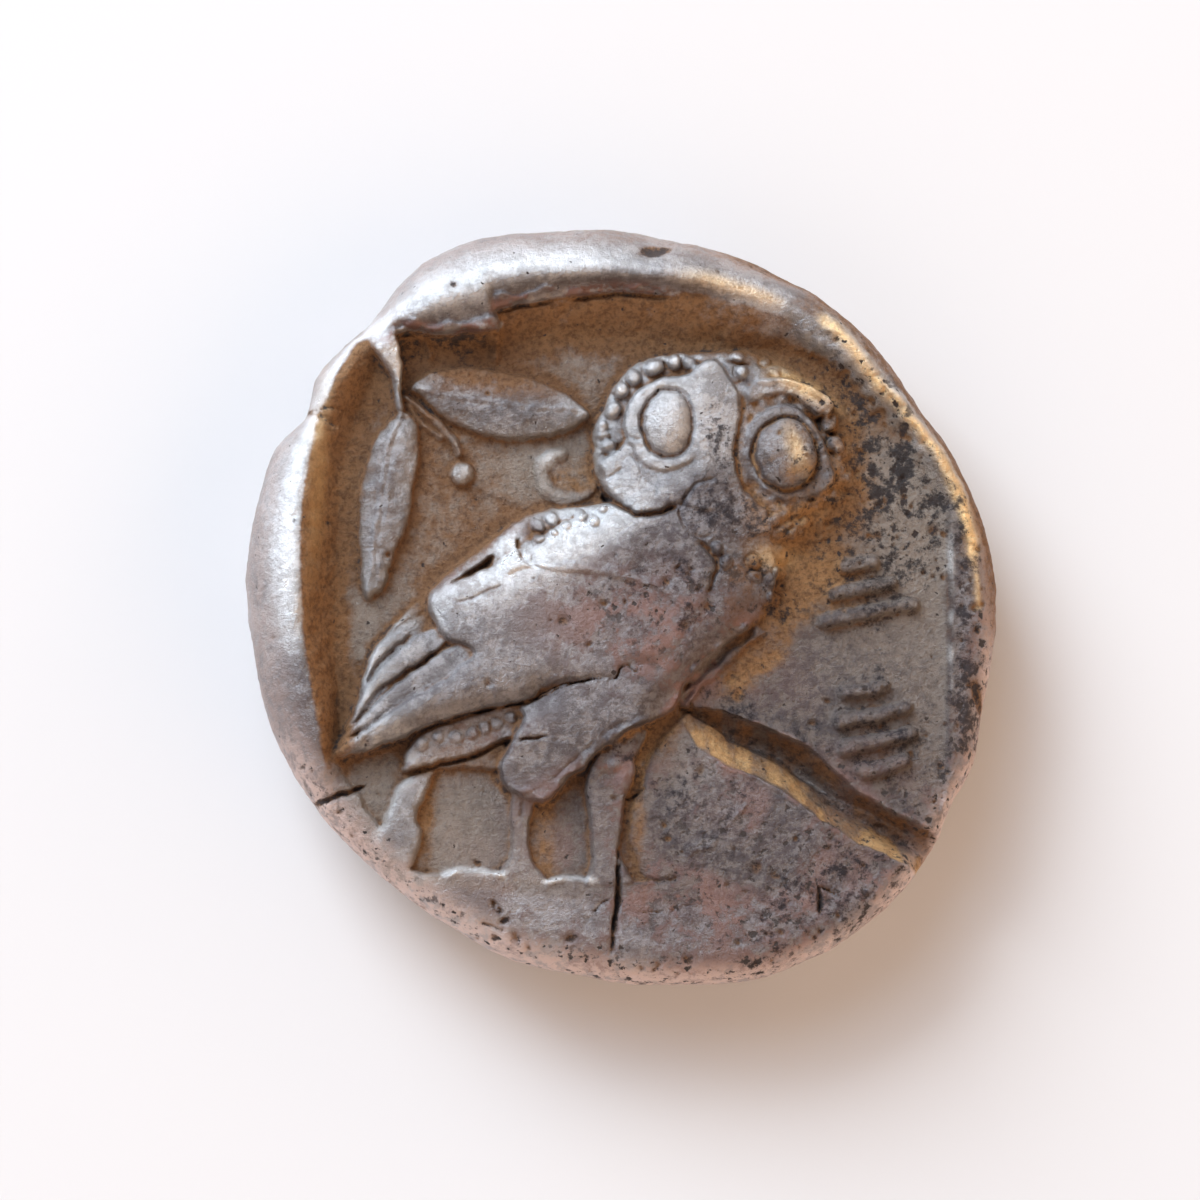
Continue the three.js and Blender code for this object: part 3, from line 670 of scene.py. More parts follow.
def legs(z):
    """Both legs with their feet, and the strip's edge pushed up between them."""
    left_leg = [
        (-3.54, -5.6), (-3.54, -6.37), (-3.58, -7.07), (-3.62, -7.7), (-3.7, -8.17), (-3.9, -8.85),
        (-2.5, -9.05), (-2.76, -8.48), (-2.97, -8.0), (-3.03, -7.46), (-2.92, -6.92), (-2.72, -6.3),
        (-2.6, -5.6),
    ]
    right_leg = [
        (-1.0, -5.2), (-1.13, -5.82), (-1.07, -6.6), (-1.03, -7.39), (-0.96, -8.17), (-1.05, -9.0),
        (0.4, -9.05), (0.1, -8.4), (-0.06, -7.7), (-0.02, -6.9), (0.16, -6.25), (0.5, -5.5),
        (0.6, -4.9), (0.9, -4.0), (0.0, -3.9),
    ]
    raise_form(z, left_leg, EXERGUE + 0.03, 0.1, softness=0.04)
    raise_form(z, right_leg, EXERGUE + 0.05, 0.12, crown=0.03, softness=0.04)
    knee = around([(-0.2, -5.0)], 1.4)
    lumps = zone((-0.2, -5.1), 0.9, 0.8, -30)[knee]
    z[knee] += lumps * (0.12 + 0.06 * cloud(0.14, 45)[knee])
    cut_groove(z, [(-3.2, -6.3), (-3.18, -6.85)], 0.08, 0.12)
    for line in (FEET_LEFT, FEET_RIGHT, spline([(0.7, -8.92), (1.24, -8.95), (1.8, -8.8)])):
        add_bar(z, line, 0.2, 0.2, 0.1, (0.04 * cloud(0.15, 46), 0))


def pupil(z, centre, radii, tilt, level, dome, groove):
    """A domed pupil in a narrow groove."""
    window = around([centre], 2 * max(radii))
    reach = ellipse_radius(centre, *radii, tilt, window)
    outside = (reach - 1) * min(radii)
    top = level + dome * (1 - np.clip(reach, 0, 1) ** 2.6)
    trough = z[window] - groove * near(outside - 0.05, 0.065)
    z[window] = mix(top, trough, smoothstep(-0.03, 0.02, outside))


def skull(z):
    """The round of the head, worn into the field on its right side."""
    outline = [
        (-0.95, 4.6), (-0.9, 5.3), (-0.85, 5.9), (-0.6, 6.5), (-0.35, 7.1), (0.1, 7.65), (0.75, 8.1),
        (1.5, 8.35), (2.3, 8.4), (3.2, 8.4), (4.2, 8.5), (5.2, 8.25), (6.2, 7.7), (7.0, 7.0), (7.6, 6.0),
        (7.85, 5.2), (7.8, 4.0), (7.2, 2.9), (6.2, 2.1), (5.2, 1.85), (4.2, 2.0), (3.4, 2.6), (2.6, 2.3),
        (1.9, 2.9), (1.2, 3.05), (0.43, 2.98), (-0.2, 3.4), (-0.7, 3.9),
    ]
    line = spline(outline, closed=True)
    window = around(line, 0.25)
    depth = within(line, window)
    shoulder = np.interp(X[window], [2.5, 5.5], [0.25, 1.3])
    crumbs = 0.06 * cloud(0.1, 47)[window] + 0.05 * cloud(0.3, 48)[window]
    right_side = smoothstep(3.6, 4.6, X[window])
    level = np.interp(X[window], [2.5, 3.4, 5.0, 7.2], [0.55, 0.84, 0.8, 0.5])
    top = level * mix(pillow(depth / shoulder), smoothstep(-0.2, 1, depth / shoulder), right_side)
    top += crumbs * right_side * smoothstep(0, 0.6, depth)
    z[window] = join(z[window], np.where(depth > 0, top, 4 * depth), 0.04)


def face(z):
    """The raised front of the head."""
    outline = [
        (0.03, 5.5), (0.02, 6.0), (0.13, 6.46), (0.37, 6.89), (0.75, 7.22), (1.23, 7.47), (1.76, 7.6),
        (2.1, 7.68), (2.4, 8.0), (2.9, 8.12), (3.25, 7.95), (3.63, 7.35), (3.85, 6.9), (3.9, 6.2),
        (3.7, 5.4), (3.75, 4.6), (4.1, 3.8), (4.7, 3.2), (4.9, 2.5), (4.2, 2.3), (3.5, 2.9), (2.5, 3.0),
        (1.76, 3.22), (1.33, 3.12), (0.7, 3.02), (0.37, 2.98), (0.08, 3.22), (-0.28, 3.47), (-0.62, 3.82),
        (-0.76, 4.3), (-0.86, 4.73), (-0.5, 5.0), (-0.15, 5.2),
    ]
    line = spline(outline, closed=True)
    window = around(line, 0.25)
    depth = within(line, window)
    x = np.broadcast_to(X[window], depth.shape)
    level = 0.74 + 0.14 * np.clip(x + 0.8, 0, 3.4) - 0.3 * smoothstep(1.8, 4.6, x)
    level -= 0.12 * smoothstep(6.6, 8.0, Y[window])
    z[window] = join(z[window], np.where(depth > 0, level * pillow(depth / 0.15), 4 * depth), 0.03)


def cheek(z):
    """The cheek lies lower than the eye's ring, in worn lobes, with its creases."""
    lid = [
        (-0.1, 5.42), (0.13, 5.4), (0.32, 4.97), (0.61, 4.59), (0.99, 4.42), (1.43, 4.4), (1.95, 4.59),
        (2.4, 4.82),
    ]
    jaw = [(2.9, 4.05), (2.3, 3.8), (1.86, 3.15), (0.4, 2.8), (-0.5, 3.3), (-1.0, 4.2), (-1.0, 4.9)]
    outline = np.array(lid + jaw)
    window = around(outline, 0.2)
    z[window] -= 0.1 * smoothstep(0, 0.08, within(outline, window)) * smoothstep(2.7, 1.9, X[window])
    lobes = (
        ((0.1, 3.8), (0.8, 0.42), -18, 0.12), ((-0.5, 4.5), (0.36, 0.34), 0, 0.08),
        ((1.5, 3.75), (0.6, 0.45), 20, 0.08), ((0.3, 4.5), (0.3, 0.3), 0, 0.05),
    )
    for centre, radii, tilt, rise in lobes:
        z[window] += rise * np.exp(-(ellipse_radius(centre, *radii, tilt, window) ** 4))
    for line, width, depth in (
        (lid[1:], 0.09, 0.12), ([(0.0, 5.46), (0.3, 5.42), (0.56, 5.38)], 0.07, 0.12),
        ([(-0.62, 4.08), (-0.35, 4.25), (-0.08, 4.46)], 0.08, 0.12),
        ([(0.25, 4.95), (0.45, 4.65), (0.62, 4.3)], 0.07, 0.08),
        ([(1.03, 4.0), (1.1, 3.8), (1.07, 3.55)], 0.06, 0.08),
        ([(-0.62, 3.78), (-0.28, 3.42), (0.06, 3.18), (0.37, 2.95), (0.7, 2.99), (1.33, 3.08),
          (1.8, 3.2)], 0.16, 0.34),
        ([(3.82, 7.1), (3.98, 6.5), (3.74, 5.8), (3.72, 5.0), (3.9, 4.2), (4.3, 3.6)], 0.12, 0.09),
    ):
        cut_groove(z, spline(line), width, depth, ends=0.08)


def beak(z):
    """The hooked beak and the line cut round it."""
    outline = [
        (2.95, 4.1), (2.62, 4.01), (2.29, 3.82), (2.05, 3.53), (1.86, 3.15), (1.86, 2.81), (2.05, 2.53),
        (2.38, 2.31), (2.82, 2.33), (3.2, 2.6), (3.5, 3.05), (3.6, 3.6), (3.45, 4.0),
    ]
    raise_form(z, outline, 1.03, 0.12, crown=0.02, softness=0.05)
    left_side = [(2.96, 4.12), (2.62, 4.07), (2.27, 3.88), (2.0, 3.57), (1.81, 3.2)]
    tip = [(1.81, 3.2), (1.83, 2.8), (2.05, 2.47), (2.4, 2.25), (2.85, 2.26)]
    for line, width, depth in ((left_side, 0.07, 0.14), (tip, 0.06, 0.12)):
        cut_groove(z, spline(line), width, depth, ends=0.06)


def eyes(z):
    """The right eye's flat ring, the ragged brow over it, and both pupils."""
    ring = [
        (4.05, 6.0), (4.43, 6.38), (4.91, 6.66), (5.4, 6.72), (5.97, 6.43), (6.4, 6.05), (6.69, 5.47),
        (6.83, 4.94), (6.95, 4.5), (6.93, 4.13), (6.59, 3.79), (6.16, 3.58), (5.49, 3.41), (4.91, 3.5),
        (4.43, 3.84), (4.1, 4.32), (3.92, 4.85), (3.88, 5.42),
    ]
    raise_form(z, ring, 0.92, 0.16, softness=0.04)
    brow = [
        (4.0, 7.15), (4.35, 7.4), (4.85, 7.52), (5.4, 7.55), (6.0, 7.38), (6.6, 7.02), (6.98, 6.6),
        (6.8, 6.35), (6.4, 6.3), (5.97, 6.6), (5.4, 6.92), (4.87, 6.88), (4.3, 6.6), (4.0, 6.75),
    ]
    raise_form(z, brow, 0.93, 0.12, crown=0.02, softness=0.03)
    brow_crest = spline([(4.4, 7.3), (5.0, 7.42), (5.5, 7.4), (6.1, 7.2), (6.6, 6.85), (6.85, 6.55)])
    add_bar(z, brow_crest, 0.2, 0.3, 0.09, (0.05 * cloud(0.15, 66), 0))
    crack(z, brow_crest - (0.04, 0.24), 0.08, 0.08, 67)
    pupil(z, (1.45, 5.95), (0.79, 1.04), -6, 1.06, 0.28, 0.17)
    pupil(z, (5.30, 4.99), (1.04, 1.14), -8, 1.16, 0.3, 0.16)


def head_border(z):
    """Cracks over the brow, and the beads and gaps of the border round the face."""
    crack(z, spline([(3.0, 8.2), (3.49, 8.04), (3.87, 7.99), (4.45, 7.99), (4.75, 7.85)]), 0.12, 0.24, 39)
    crack(z, spline([(3.1, 8.15), (3.4, 7.7), (3.64, 7.36), (4.1, 7.55)]), 0.1, 0.16, 40)
    beads = [
        # centre, radius and rise
        ((-0.62, 5.93), 0.22, 0.08), ((-0.59, 5.62), 0.2, 0.07), ((-0.49, 5.2), 0.26, 0.1),
        ((-0.28, 6.46), 0.28, 0.24), ((-0.04, 7.06), 0.27, 0.24), ((0.4, 7.46), 0.28, 0.24),
        ((1.04, 7.78), 0.28, 0.24), ((1.63, 7.99), 0.27, 0.22), ((2.16, 8.0), 0.24, 0.16),
        ((6.86, 6.14), 0.31, 0.3), ((7.07, 5.42), 0.29, 0.28), ((3.85, 8.23), 0.22, 0.16),
        ((3.92, 7.7), 0.24, 0.18), ((4.7, 8.1), 0.2, 0.1), ((4.89, 2.88), 0.2, 0.12),
        ((5.39, 2.81), 0.13, 0.1), ((6.02, 2.83), 0.2, 0.12), ((5.54, 2.5), 0.2, 0.12),
    ]
    for centre, radius, rise in beads:
        raise_bead(z, centre, radius, rise, moat=0.08)
    gaps = [
        # centre, radius and depth
        ((6.5, 6.28), 0.12, 0.2), ((6.98, 5.78), 0.1, 0.2), ((6.9, 5.2), 0.09, 0.16),
        ((6.16, 3.6), 0.12, 0.16), ((7.31, 4.6), 0.14, 0.14), ((7.12, 4.05), 0.11, 0.12),
        ((6.2, 2.76), 0.1, 0.12),
    ]
    for centre, radius, depth in gaps:
        window = around([centre], 0.5)
        z[window] -= depth * np.exp(-(ellipse_radius(centre, radius, 0.8 * radius, 30, window) ** 3))


def owl_head(z):
    """The head turned to the front, built up part by part."""
    for part in (skull, face, cheek, beak, eyes, head_border):
        part(z)


def strokes(z):
    """Two clusters of plain slanted strokes down the right of the field."""
    slant = math.radians(12)
    along = np.array([math.cos(slant), math.sin(slant)])
    across = np.array([-along[1], along[0]])
    clusters = [((7.95, 0.75), (2.9, 1.9, 1.0), 0.82), ((8.3, -3.85), (1.3, 2.2, 2.2, 1.3), 0.85)]
    for centre, lengths, spacing in clusters:
        for index, length in enumerate(lengths):
            middle = np.array(centre) + across * (index - (len(lengths) - 1) / 2) * spacing
            ends = [middle - along * length / 2, middle + along * length / 2]
            raise_bar(z, ends, 0.58, 0.48, 0.3, softness=0.02)


# The chisel cut's upper and lower edges, from its start by the breast out past the rim.
CUT_UPPER = [
    (1.85, -3.22), (3.16, -3.27), (4.44, -3.72), (5.82, -4.29), (6.82, -5.03), (7.74, -5.83),
    (8.56, -6.35), (9.93, -7.04), (11.2, -7.7), (12.8, -8.6),
]
CUT_LOWER = [
    (1.85, -3.4), (2.2, -4.1), (2.71, -4.8), (3.53, -5.3), (4.35, -5.55), (5.36, -6.15),
    (6.82, -7.08), (7.83, -7.7), (8.56, -8.09), (9.4, -8.5), (10.4, -9.2), (11.6, -10.2),
]


def cut_place():
    """Depth inside the chisel cut, its share of length, the place across it and that of its valley."""
    upper, lower = spline(CUT_UPPER), spline(CUT_LOWER)
    depth = within(np.vstack([upper, lower[::-1]]))
    to_upper, share = to_line(upper)
    to_lower, _ = to_line(lower)
    valley = np.interp(share, [0, 0.25, 0.55, 0.8], [0.3, 0.38, 0.46, 0.5])
    return depth, share, to_upper / np.maximum(to_upper + to_lower, 1e-6), valley


def chisel_cut(z):
    """A V struck across the coin: its banks are crisp and its valley deepens to the rim."""
    depth, share, place, valley = cut_place()
    steepness = np.where(place < valley, place / valley, (1 - place) / (1 - valley))
    deepest = np.interp(share, [0, 0.06, 0.25, 0.7, 1], [0.1, 0.4, 0.85, 1.25, 1.5])
    steepness = np.clip(steepness, 0, 1)
    shape = np.where(place < valley, np.sin(0.5 * math.pi * steepness) ** 0.95, steepness)
    burr = 0.07 * near(depth, 0.1) * smoothstep(0.02, 0.1, share)
    cut = z - (deepest + 0.15) * shape
    z[:] = np.where(depth > 0, cut, z) + np.where(depth < 0.04, burr, 0)


def flaws(z):
    """Cracks, scrapes and dents of the worn side."""
    wing_edge = [
        (-8.7, -4.8), (-7.21, -4.44), (-6.3, -4.06), (-5.12, -3.6), (-3.78, -3.25), (-2.68, -2.95),
        (-1.97, -2.66), (-1.05, -2.42), (-0.3, -2.4), (-0.07, -2.08), (0.15, -1.98), (0.38, -2.16),
        (0.7, -1.95),
    ]
    cracks = [
        # line, width, depth and seed
        (spline([(-0.1, -7.7), (-0.07, -8.4), (-0.12, -9.1), (-0.17, -9.74), (-0.25, -11.3)]), 0.2, 0.5, 31),
        (spline([(-1.11, -10.2), (-0.88, -9.9), (-0.6, -9.58), (-0.2, -9.4)]), 0.08, 0.14, 33),
        (spline([(0.0, -9.84), (0.85, -9.93), (1.63, -9.86), (2.5, -9.6)]), 0.06, 0.12, 34),
        (spline([(-10.05, -6.4), (-9.5, -6.3), (-8.3, -5.9)]), 0.26, 0.45, 35),
        ([(6.4, -8.98), (6.42, -9.45), (6.42, -9.95)], 0.15, 0.26, 45),
        ([(6.35, -9.0), (6.75, -9.08), (7.1, -9.27)], 0.1, 0.2, 49),
        (spline(wing_edge), 0.11, 0.32, 36),
        ([(-3.62, -4.52), (-3.0, -4.4), (-2.35, -4.3)], 0.13, 0.2, 37),
        (spline([(0.81, -5.8), (0.5, -6.1), (0.2, -6.25), (-0.05, -6.25)]), 0.12, 0.2, 38),
        (spline([(-10.2, 6.35), (-9.6, 6.3), (-8.8, 6.35)]), 0.12, 0.14, 42),
        ([(10.8, 2.2), (11.9, 2.6)], 0.06, 0.06, 43),
        ([(10.75, 1.9), (11.95, 2.2)], 0.05, 0.05, 44),
        ([(-4.22, -9.5), (-4.02, -9.8), (-3.84, -10.12)], 0.2, 0.24, 75),
        ([(-4.02, -9.8), (-3.7, -9.95), (-3.4, -9.9)], 0.1, 0.14, 76),
    ]
    for line, width, depth, seed in cracks:
        crack(z, line, width, depth, seed)
    cut_groove(z, spline([(-7.1, -9.4), (-6.6, -9.55), (-6.2, -9.76)]), 0.14, 0.08)
    cut_groove(z, spline([(-4.57, -10.24), (-4.1, -10.45), (-3.73, -10.6)]), 0.2, 0.1)
    dents = [
        # centre, half-width, half-height, tilt and depth
        ((-10.7, 2.55), 0.1, 0.2, 0, 0.08), ((-11.3, -1.2), 0.12, 0.1, 0, 0.06),
        ((-10.5, 4.6), 0.08, 0.2, 10, 0.06), ((0.98, 11.55), 0.55, 0.2, 10, 0.22),
        ((-9.6, 2.6), 0.14, 0.12, 0, 0.15), ((6.62, -9.35), 0.3, 0.2, 60, 0.07),
        ((-3.8, -10.25), 0.16, 0.12, 20, 0.16), ((-1.6, -10.75), 0.2, 0.14, 0, 0.12),
        ((11.7, -2.7), 0.2, 0.5, 10, 0.14), ((-7.7, 10.2), 0.2, 0.14, 0, 0.06),
        ((4.6, 11.1), 0.7, 0.3, -30, 0.06),
    ]
    for centre, width, height, tilt, depth in dents:
        window = around([centre], 1.6)
        z[window] -= depth * np.exp(-(ellipse_radius(centre, width, height, tilt, window) ** 3))


def pits(z, seed=51):
    """Corrosion pits, thick where the metal is tarnished and thin elsewhere."""
    rng = np.random.default_rng(seed)
    outward = np.hypot(X, Y) / rim_radius(np.degrees(np.arctan2(Y, X)))
    pitting = 0.02 + tarnish_zone() + 0.6 * smoothstep(0.9, 0.95, outward) * smoothstep(-2, -6, Y)
    placed = 0
    while placed < PITS:
        x, y = rng.uniform(-12, 12, 2)
        radius = rng.gamma(3.0, 0.026)
        row, column = int((y + HALF) / STEP), int((x + HALF) / STEP)
        if math.hypot(x, y) > 12.5 or rng.uniform(0, 1.1) > pitting[row, column]:
            continue
        window = around([(x, y)], 3 * radius)
        reach = ellipse_radius((x, y), radius, radius * rng.uniform(0.6, 1), rng.uniform(0, 180), window)
        z[window] -= min(0.1, 0.85 * radius) * np.exp(-(reach**3))
        placed += 1


def zone(centre, radius_x, radius_y, tilt=0.0):
    """A soft patch of the plan: 1 in its middle, 0 well outside it."""
    return np.exp(-(ellipse_radius(centre, radius_x, radius_y, tilt, WHOLE) ** 2.6))


def patches(*rows):
    """Soft patches added up; a row is strength, x, y, half-width, half-height and tilt."""
    return sum(strength * zone((x, y), width, height, tilt) for strength, x, y, width, height, tilt in rows)


def tarnish_zone():
    """Where the silver has gone dark and pitted."""
    tarnished = patches(
        (1, 9.0, 3.8, 1.8, 2.9, 35), (0.6, 8.3, 6.6, 2.4, 1.0, -50), (0.75, 7.0, -9.2, 4.2, 2.2, 25),
        (0.5, 2.5, -6.2, 2.2, 2.0, 20), (0.7, 11.5, -2.6, 0.7, 3.6, 0), (0.5, 8.3, -3.8, 2.0, 2.4, 0),
        (0.45, 1.6, 0.2, 3.4, 1.6, 10), (0.35, 4.6, -3.4, 2.4, 0.8, -25), (0.4, 5.1, 0.8, 0.9, 2.2, 0),
        (0.4, 7.9, 0.7, 1.6, 1.8, 0),
    )
    return np.clip(tarnished, 0, 1)


def owl_side():
    """Heights of the owl side above the field, in millimetres, and how deep its flaws are."""
    z = flan_top()
    flan_flaws(z)
    lip_dents(z)
    ground_beside_leg(z)
    sprig(z)
    crescent(z)
    legs(z)
    undertail_and_tail(z)
    owl_body(z)
    owl_head(z)
    strokes(z)
    z = blur(z, 0.03)
    chisel_cut(z)
    z += 0.018 * cloud(0.9, 61) + 0.009 * cloud(0.22, 62) + 0.004 * cloud(0.09, 63)
    whole = z.copy()
    flaws(z)
    pits(z)
    return np.minimum(z, OWL_RISE), np.clip(8 * (whole - z) - 0.2, 0, 1)


# ---------------------------------------------------------------- the underside


CREST_MIDDLE = (0.6, 0.8)  # the crest of the helmet is an arc round this place
SCROLL_MIDDLE = (4.2, 3.6)


def profile(drop):
    """A plain face and neck, turned towards -X."""
    face_and_neck = [
        (-4.6, 3.0), (-5.2, 1.6), (-5.5, 0.9), (-6.2, -0.1), (-6.65, -0.75), (-6.1, -1.15),
        (-6.2, -1.6), (-6.35, -1.95), (-5.9, -2.3), (-6.2, -2.75), (-5.75, -3.2), (-5.95, -3.9),
        (-5.5, -4.7), (-4.5, -5.2), (-3.0, -5.3), (-2.6, -6.4), (-3.0, -8.2), (0.4, -9.2),
        (3.6, -8.3), (4.2, -5.6), (4.7, -3.0), (3.6, 2.4),
    ]
    raise_form(drop, face_and_neck, 0.55, 0.8, crown=0.12)


def features(drop):
    """The eye with its lids, the mouth, the nostril, the ear's disc and the neck's beads."""
    eye = [(-4.9, -0.25), (-4.2, 0.2), (-3.3, 0.1), (-2.9, -0.3), (-3.6, -0.6), (-4.5, -0.55)]
    raise_form(drop, eye, 0.78, 0.25)
    for line, width, depth in (
        ([(-5.1, -0.3), (-4.2, 0.4), (-3.2, 0.25), (-2.7, -0.2)], 0.14, 0.14),
        ([(-5.0, -0.4), (-4.1, -0.75), (-3.1, -0.45)], 0.1, 0.1),
        ([(-6.1, -2.32), (-5.4, -2.35), (-4.9, -2.2)], 0.14, 0.14),
        ([(-5.9, -1.55), (-5.4, -1.35), (-5.2, -0.95)], 0.16, 0.12),
    ):
        cut_groove(drop, spline(line), width, depth)
    raise_bead(drop, (0.5, -2.2), 0.62, 0.2, moat=0.1)
    for share in np.linspace(0, 1, 12):
        raise_bead(drop, (mix(-2.5, 3.6, share), -7.2 - 0.9 * math.sin(math.pi * share)), 0.2, 0.14)


def helmet(drop):
    """The helmet's bowl and rim, its crest, three upright leaves and a scroll."""
    bowl = [
        (-5.5, 2.6), (-5.2, 5.2), (-3.2, 7.5), (0.4, 8.5), (4.2, 7.5), (6.6, 4.9), (7.0, 1.6),
        (5.6, -1.6), (4.4, -3.2), (3.7, -1.4), (2.0, 0.2), (-1.0, 1.0), (-3.4, 1.7),
    ]
    raise_form(drop, bowl, 0.66, 0.9, crown=0.14, softness=0.05)
    x, y = CREST_MIDDLE
    crest_angles = np.radians(np.linspace(-25, 120, 14))
    raise_bar(drop, [(x + 9.0 * math.cos(a), y + 8.7 * math.sin(a)) for a in crest_angles], 1.3, 1.5, 0.55)
    for a in np.radians(np.linspace(-22, 117, 34)):
        spoke = [(x + r * math.cos(a), y + 0.97 * r * math.sin(a)) for r in (8.4, 9.6)]
        cut_groove(drop, spoke, 0.14, 0.1)
    cut_groove(drop, spline([(-5.6, 2.5), (-3.4, 1.75), (-1.0, 1.05), (2.0, 0.3), (3.8, -1.4)]), 0.2, 0.2)
    cut_groove(drop, spline([(-5.3, 3.1), (-3.2, 2.35), (-0.8, 1.7), (2.2, 1.0)]), 0.12, 0.12)
    for index in range(3):
        foot = np.array([-4.0 + 1.25 * index, 3.0 - 0.35 * index])
        leaf = [foot + corner for corner in ((-0.3, 0), (-0.45, 0.9), (0.15, 1.9), (0.5, 0.8), (0.3, 0))]
        raise_form(drop, leaf, 0.83, 0.25)
    x, y = SCROLL_MIDDLE
    turns = [(a, 0.35 + 0.11 * a) for a in np.linspace(0, 4.2 * math.pi, 40)]
    cut_groove(drop, [(x + r * math.cos(a), y + r * math.sin(a)) for a, r in turns], 0.16, 0.13)


def hair(drop):
    """Waved locks below the helmet's rim and on the nape."""
    for row in range(4):
        y, slope = 0.85 - 0.42 * row, 0.6 + 0.12 * row
        wave = [
            (x, y - 0.28 * (x + 4.2) * slope + 0.16 * math.sin(2.4 * x + row))
            for x in np.linspace(-4.3, -0.4 + 0.3 * row, 16)
        ]
        cut_groove(drop, spline(wave, spans=3), 0.13, 0.12)
    for row in range(5):
        y, nape = -2.2 - 0.75 * row, np.linspace(2.5, 4.6 - 0.15 * row, 9)
        wave = [(x, y + 0.14 * math.sin(3.2 * x + row)) for x in nape]
        cut_groove(drop, spline(wave, spans=3), 0.14, 0.12)


def underside():
    """Heights of the underside above the table: a worn helmeted head."""
    outward = np.hypot(X, Y) / rim_radius(np.degrees(np.arctan2(Y, X)))
    dish = np.interp(outward, [0, 0.45, 0.72, 0.88, 0.96, 1.0], [0, 0.02, 0.12, 0.4, 0.8, 1.3])
    drop = np.zeros_like(dish)
    for part in (profile, helmet, hair, features):
        part(drop)
    drop = blur(drop, 0.09)
    heights = OBVERSE_FIELD + dish - drop
    for rise, width, seed in ((0.02, 0.8, 71), (0.01, 0.2, 72), (0.004, 0.07, 73)):
        heights += rise * cloud(width, seed)
    return np.maximum(heights, 0.0)


# ---------------------------------------------------------------- from maps to a mesh


def sample(field, x, y):
    """Reads a map at any places of the plan."""
    column = np.clip((np.asarray(x) + HALF) / STEP, 0, COUNT - 1.001)
    row = np.clip((np.asarray(y) + HALF) / STEP, 0, COUNT - 1.001)
    left, low = column.astype(int), row.astype(int)
    right_share, high_share = column - left, row - low
    lower = mix(field[low, left], field[low, left + 1], right_share)
    upper = mix(field[low + 1, left], field[low + 1, left + 1], right_share)
    return mix(lower, upper, high_share)


def struck(field, x, y):
    """Reads a map of the owl side, which lies shifted on the flan."""
    return sample(field, x - DIE_SHIFT[0], y - DIE_SHIFT[1])


def coin_rings(top, under, columns):
    """Points of the whole skin, ring by ring from the owl side's middle over the edge to below."""
    degrees = np.linspace(0, 360, columns, endpoint=False)
    cosine, sine = np.cos(np.radians(degrees)), np.sin(np.radians(degrees))
    rim = rim_radius(degrees)
    rounding = edge_round(degrees)
    bruises = cloud(0.5, 81), cloud(0.16, 82), cloud(0.06, 83)

    def bruise(turn_down):
        """Uneven hammering of the edge: maps laid round it, in the same millimetres."""
        across = np.full(columns, turn_down)
        around_edge = np.abs(np.mod(degrees / 360 * 8 * HALF, 4 * HALF) - 2 * HALF) - HALF
        broad, middling, fine = (sample(field, around_edge, across) for field in bruises)
        return 0.014 * broad + 0.007 * middling + 0.004 * fine

    skin = []
    flat_rings, round_rings, low_rings, under_rings = RING_COUNTS
    for share in np.linspace(0, 1, flat_rings, endpoint=False)[1:]:
        radius = share * (rim - rounding)
        x, y = radius * cosine, radius * sine
        skin.append((x, y, FIELD + struck(top, x, y)))
    for share in np.linspace(0, 1, round_rings, endpoint=False):
        turn = share * math.pi / 2
        radius = rim - rounding * (1 - math.sin(turn))
        x, y = radius * cosine, radius * sine
        crown = FIELD + struck(top, x, y)
        z = BULGE + (crown - BULGE) * math.cos(turn) ** 0.9
        push = bruise(2 * share) * smoothstep(0, 0.5, share)
        skin.append((x + push * cosine, y + push * sine, z))
    for share in np.linspace(0, 1, low_rings, endpoint=False):
        turn = share * math.pi / 2
        radius = rim - FOOT_INSET * (1 - math.cos(turn))
        x, y = radius * cosine, radius * sine
        floor = sample(under, x, y)
        z = BULGE - (BULGE - floor) * math.sin(turn)
        push = bruise(2 + 1.5 * share) * (1 - share)
        skin.append((x + push * cosine, y + push * sine, z))
    for share in np.linspace(1, 0, under_rings, endpoint=False):
        radius = share * (rim - FOOT_INSET)
        x, y = radius * cosine, radius * sine
        skin.append((x, y, sample(under, x, y)))
    return np.array(skin).transpose(0, 2, 1)


def skin_mesh(name, rings, poles):
    """A closed mesh from rings of points and a pole at each end."""
    count, columns, _ = rings.shape
    points = np.vstack([rings.reshape(-1, 3), poles])
    first, last = count * columns, count * columns + 1
    here = np.arange(columns)
    beside = (here + 1) % columns
    upper = (np.arange(count - 1) * columns)[:, None]
    lower = upper + columns
    quads = np.stack([upper + here, lower + here, lower + beside, upper + beside], -1).reshape(-1, 4)
    base = (count - 1) * columns
    fans = np.vstack([
        np.stack([np.full(columns, first), here, beside], -1),
        np.stack([np.full(columns, last), base + beside, base + here], -1),
    ])
    corners = np.concatenate([quads.ravel(), fans.ravel()]).astype(np.int32)
    sizes = np.concatenate([np.full(len(quads), 4), np.full(len(fans), 3)])
    starts = np.concatenate([[0], np.cumsum(sizes)[:-1]]).astype(np.int32)
    mesh = bpy.data.meshes.new(name)
    mesh.vertices.add(len(points))
    mesh.vertices.foreach_set("co", points.ravel())
    mesh.loops.add(len(corners))
    mesh.loops.foreach_set("vertex_index", corners)
    mesh.polygons.add(len(sizes))
    mesh.polygons.foreach_set("loop_start", starts)
    mesh.update(calc_edges=True)
    mesh.validate()
    return mesh


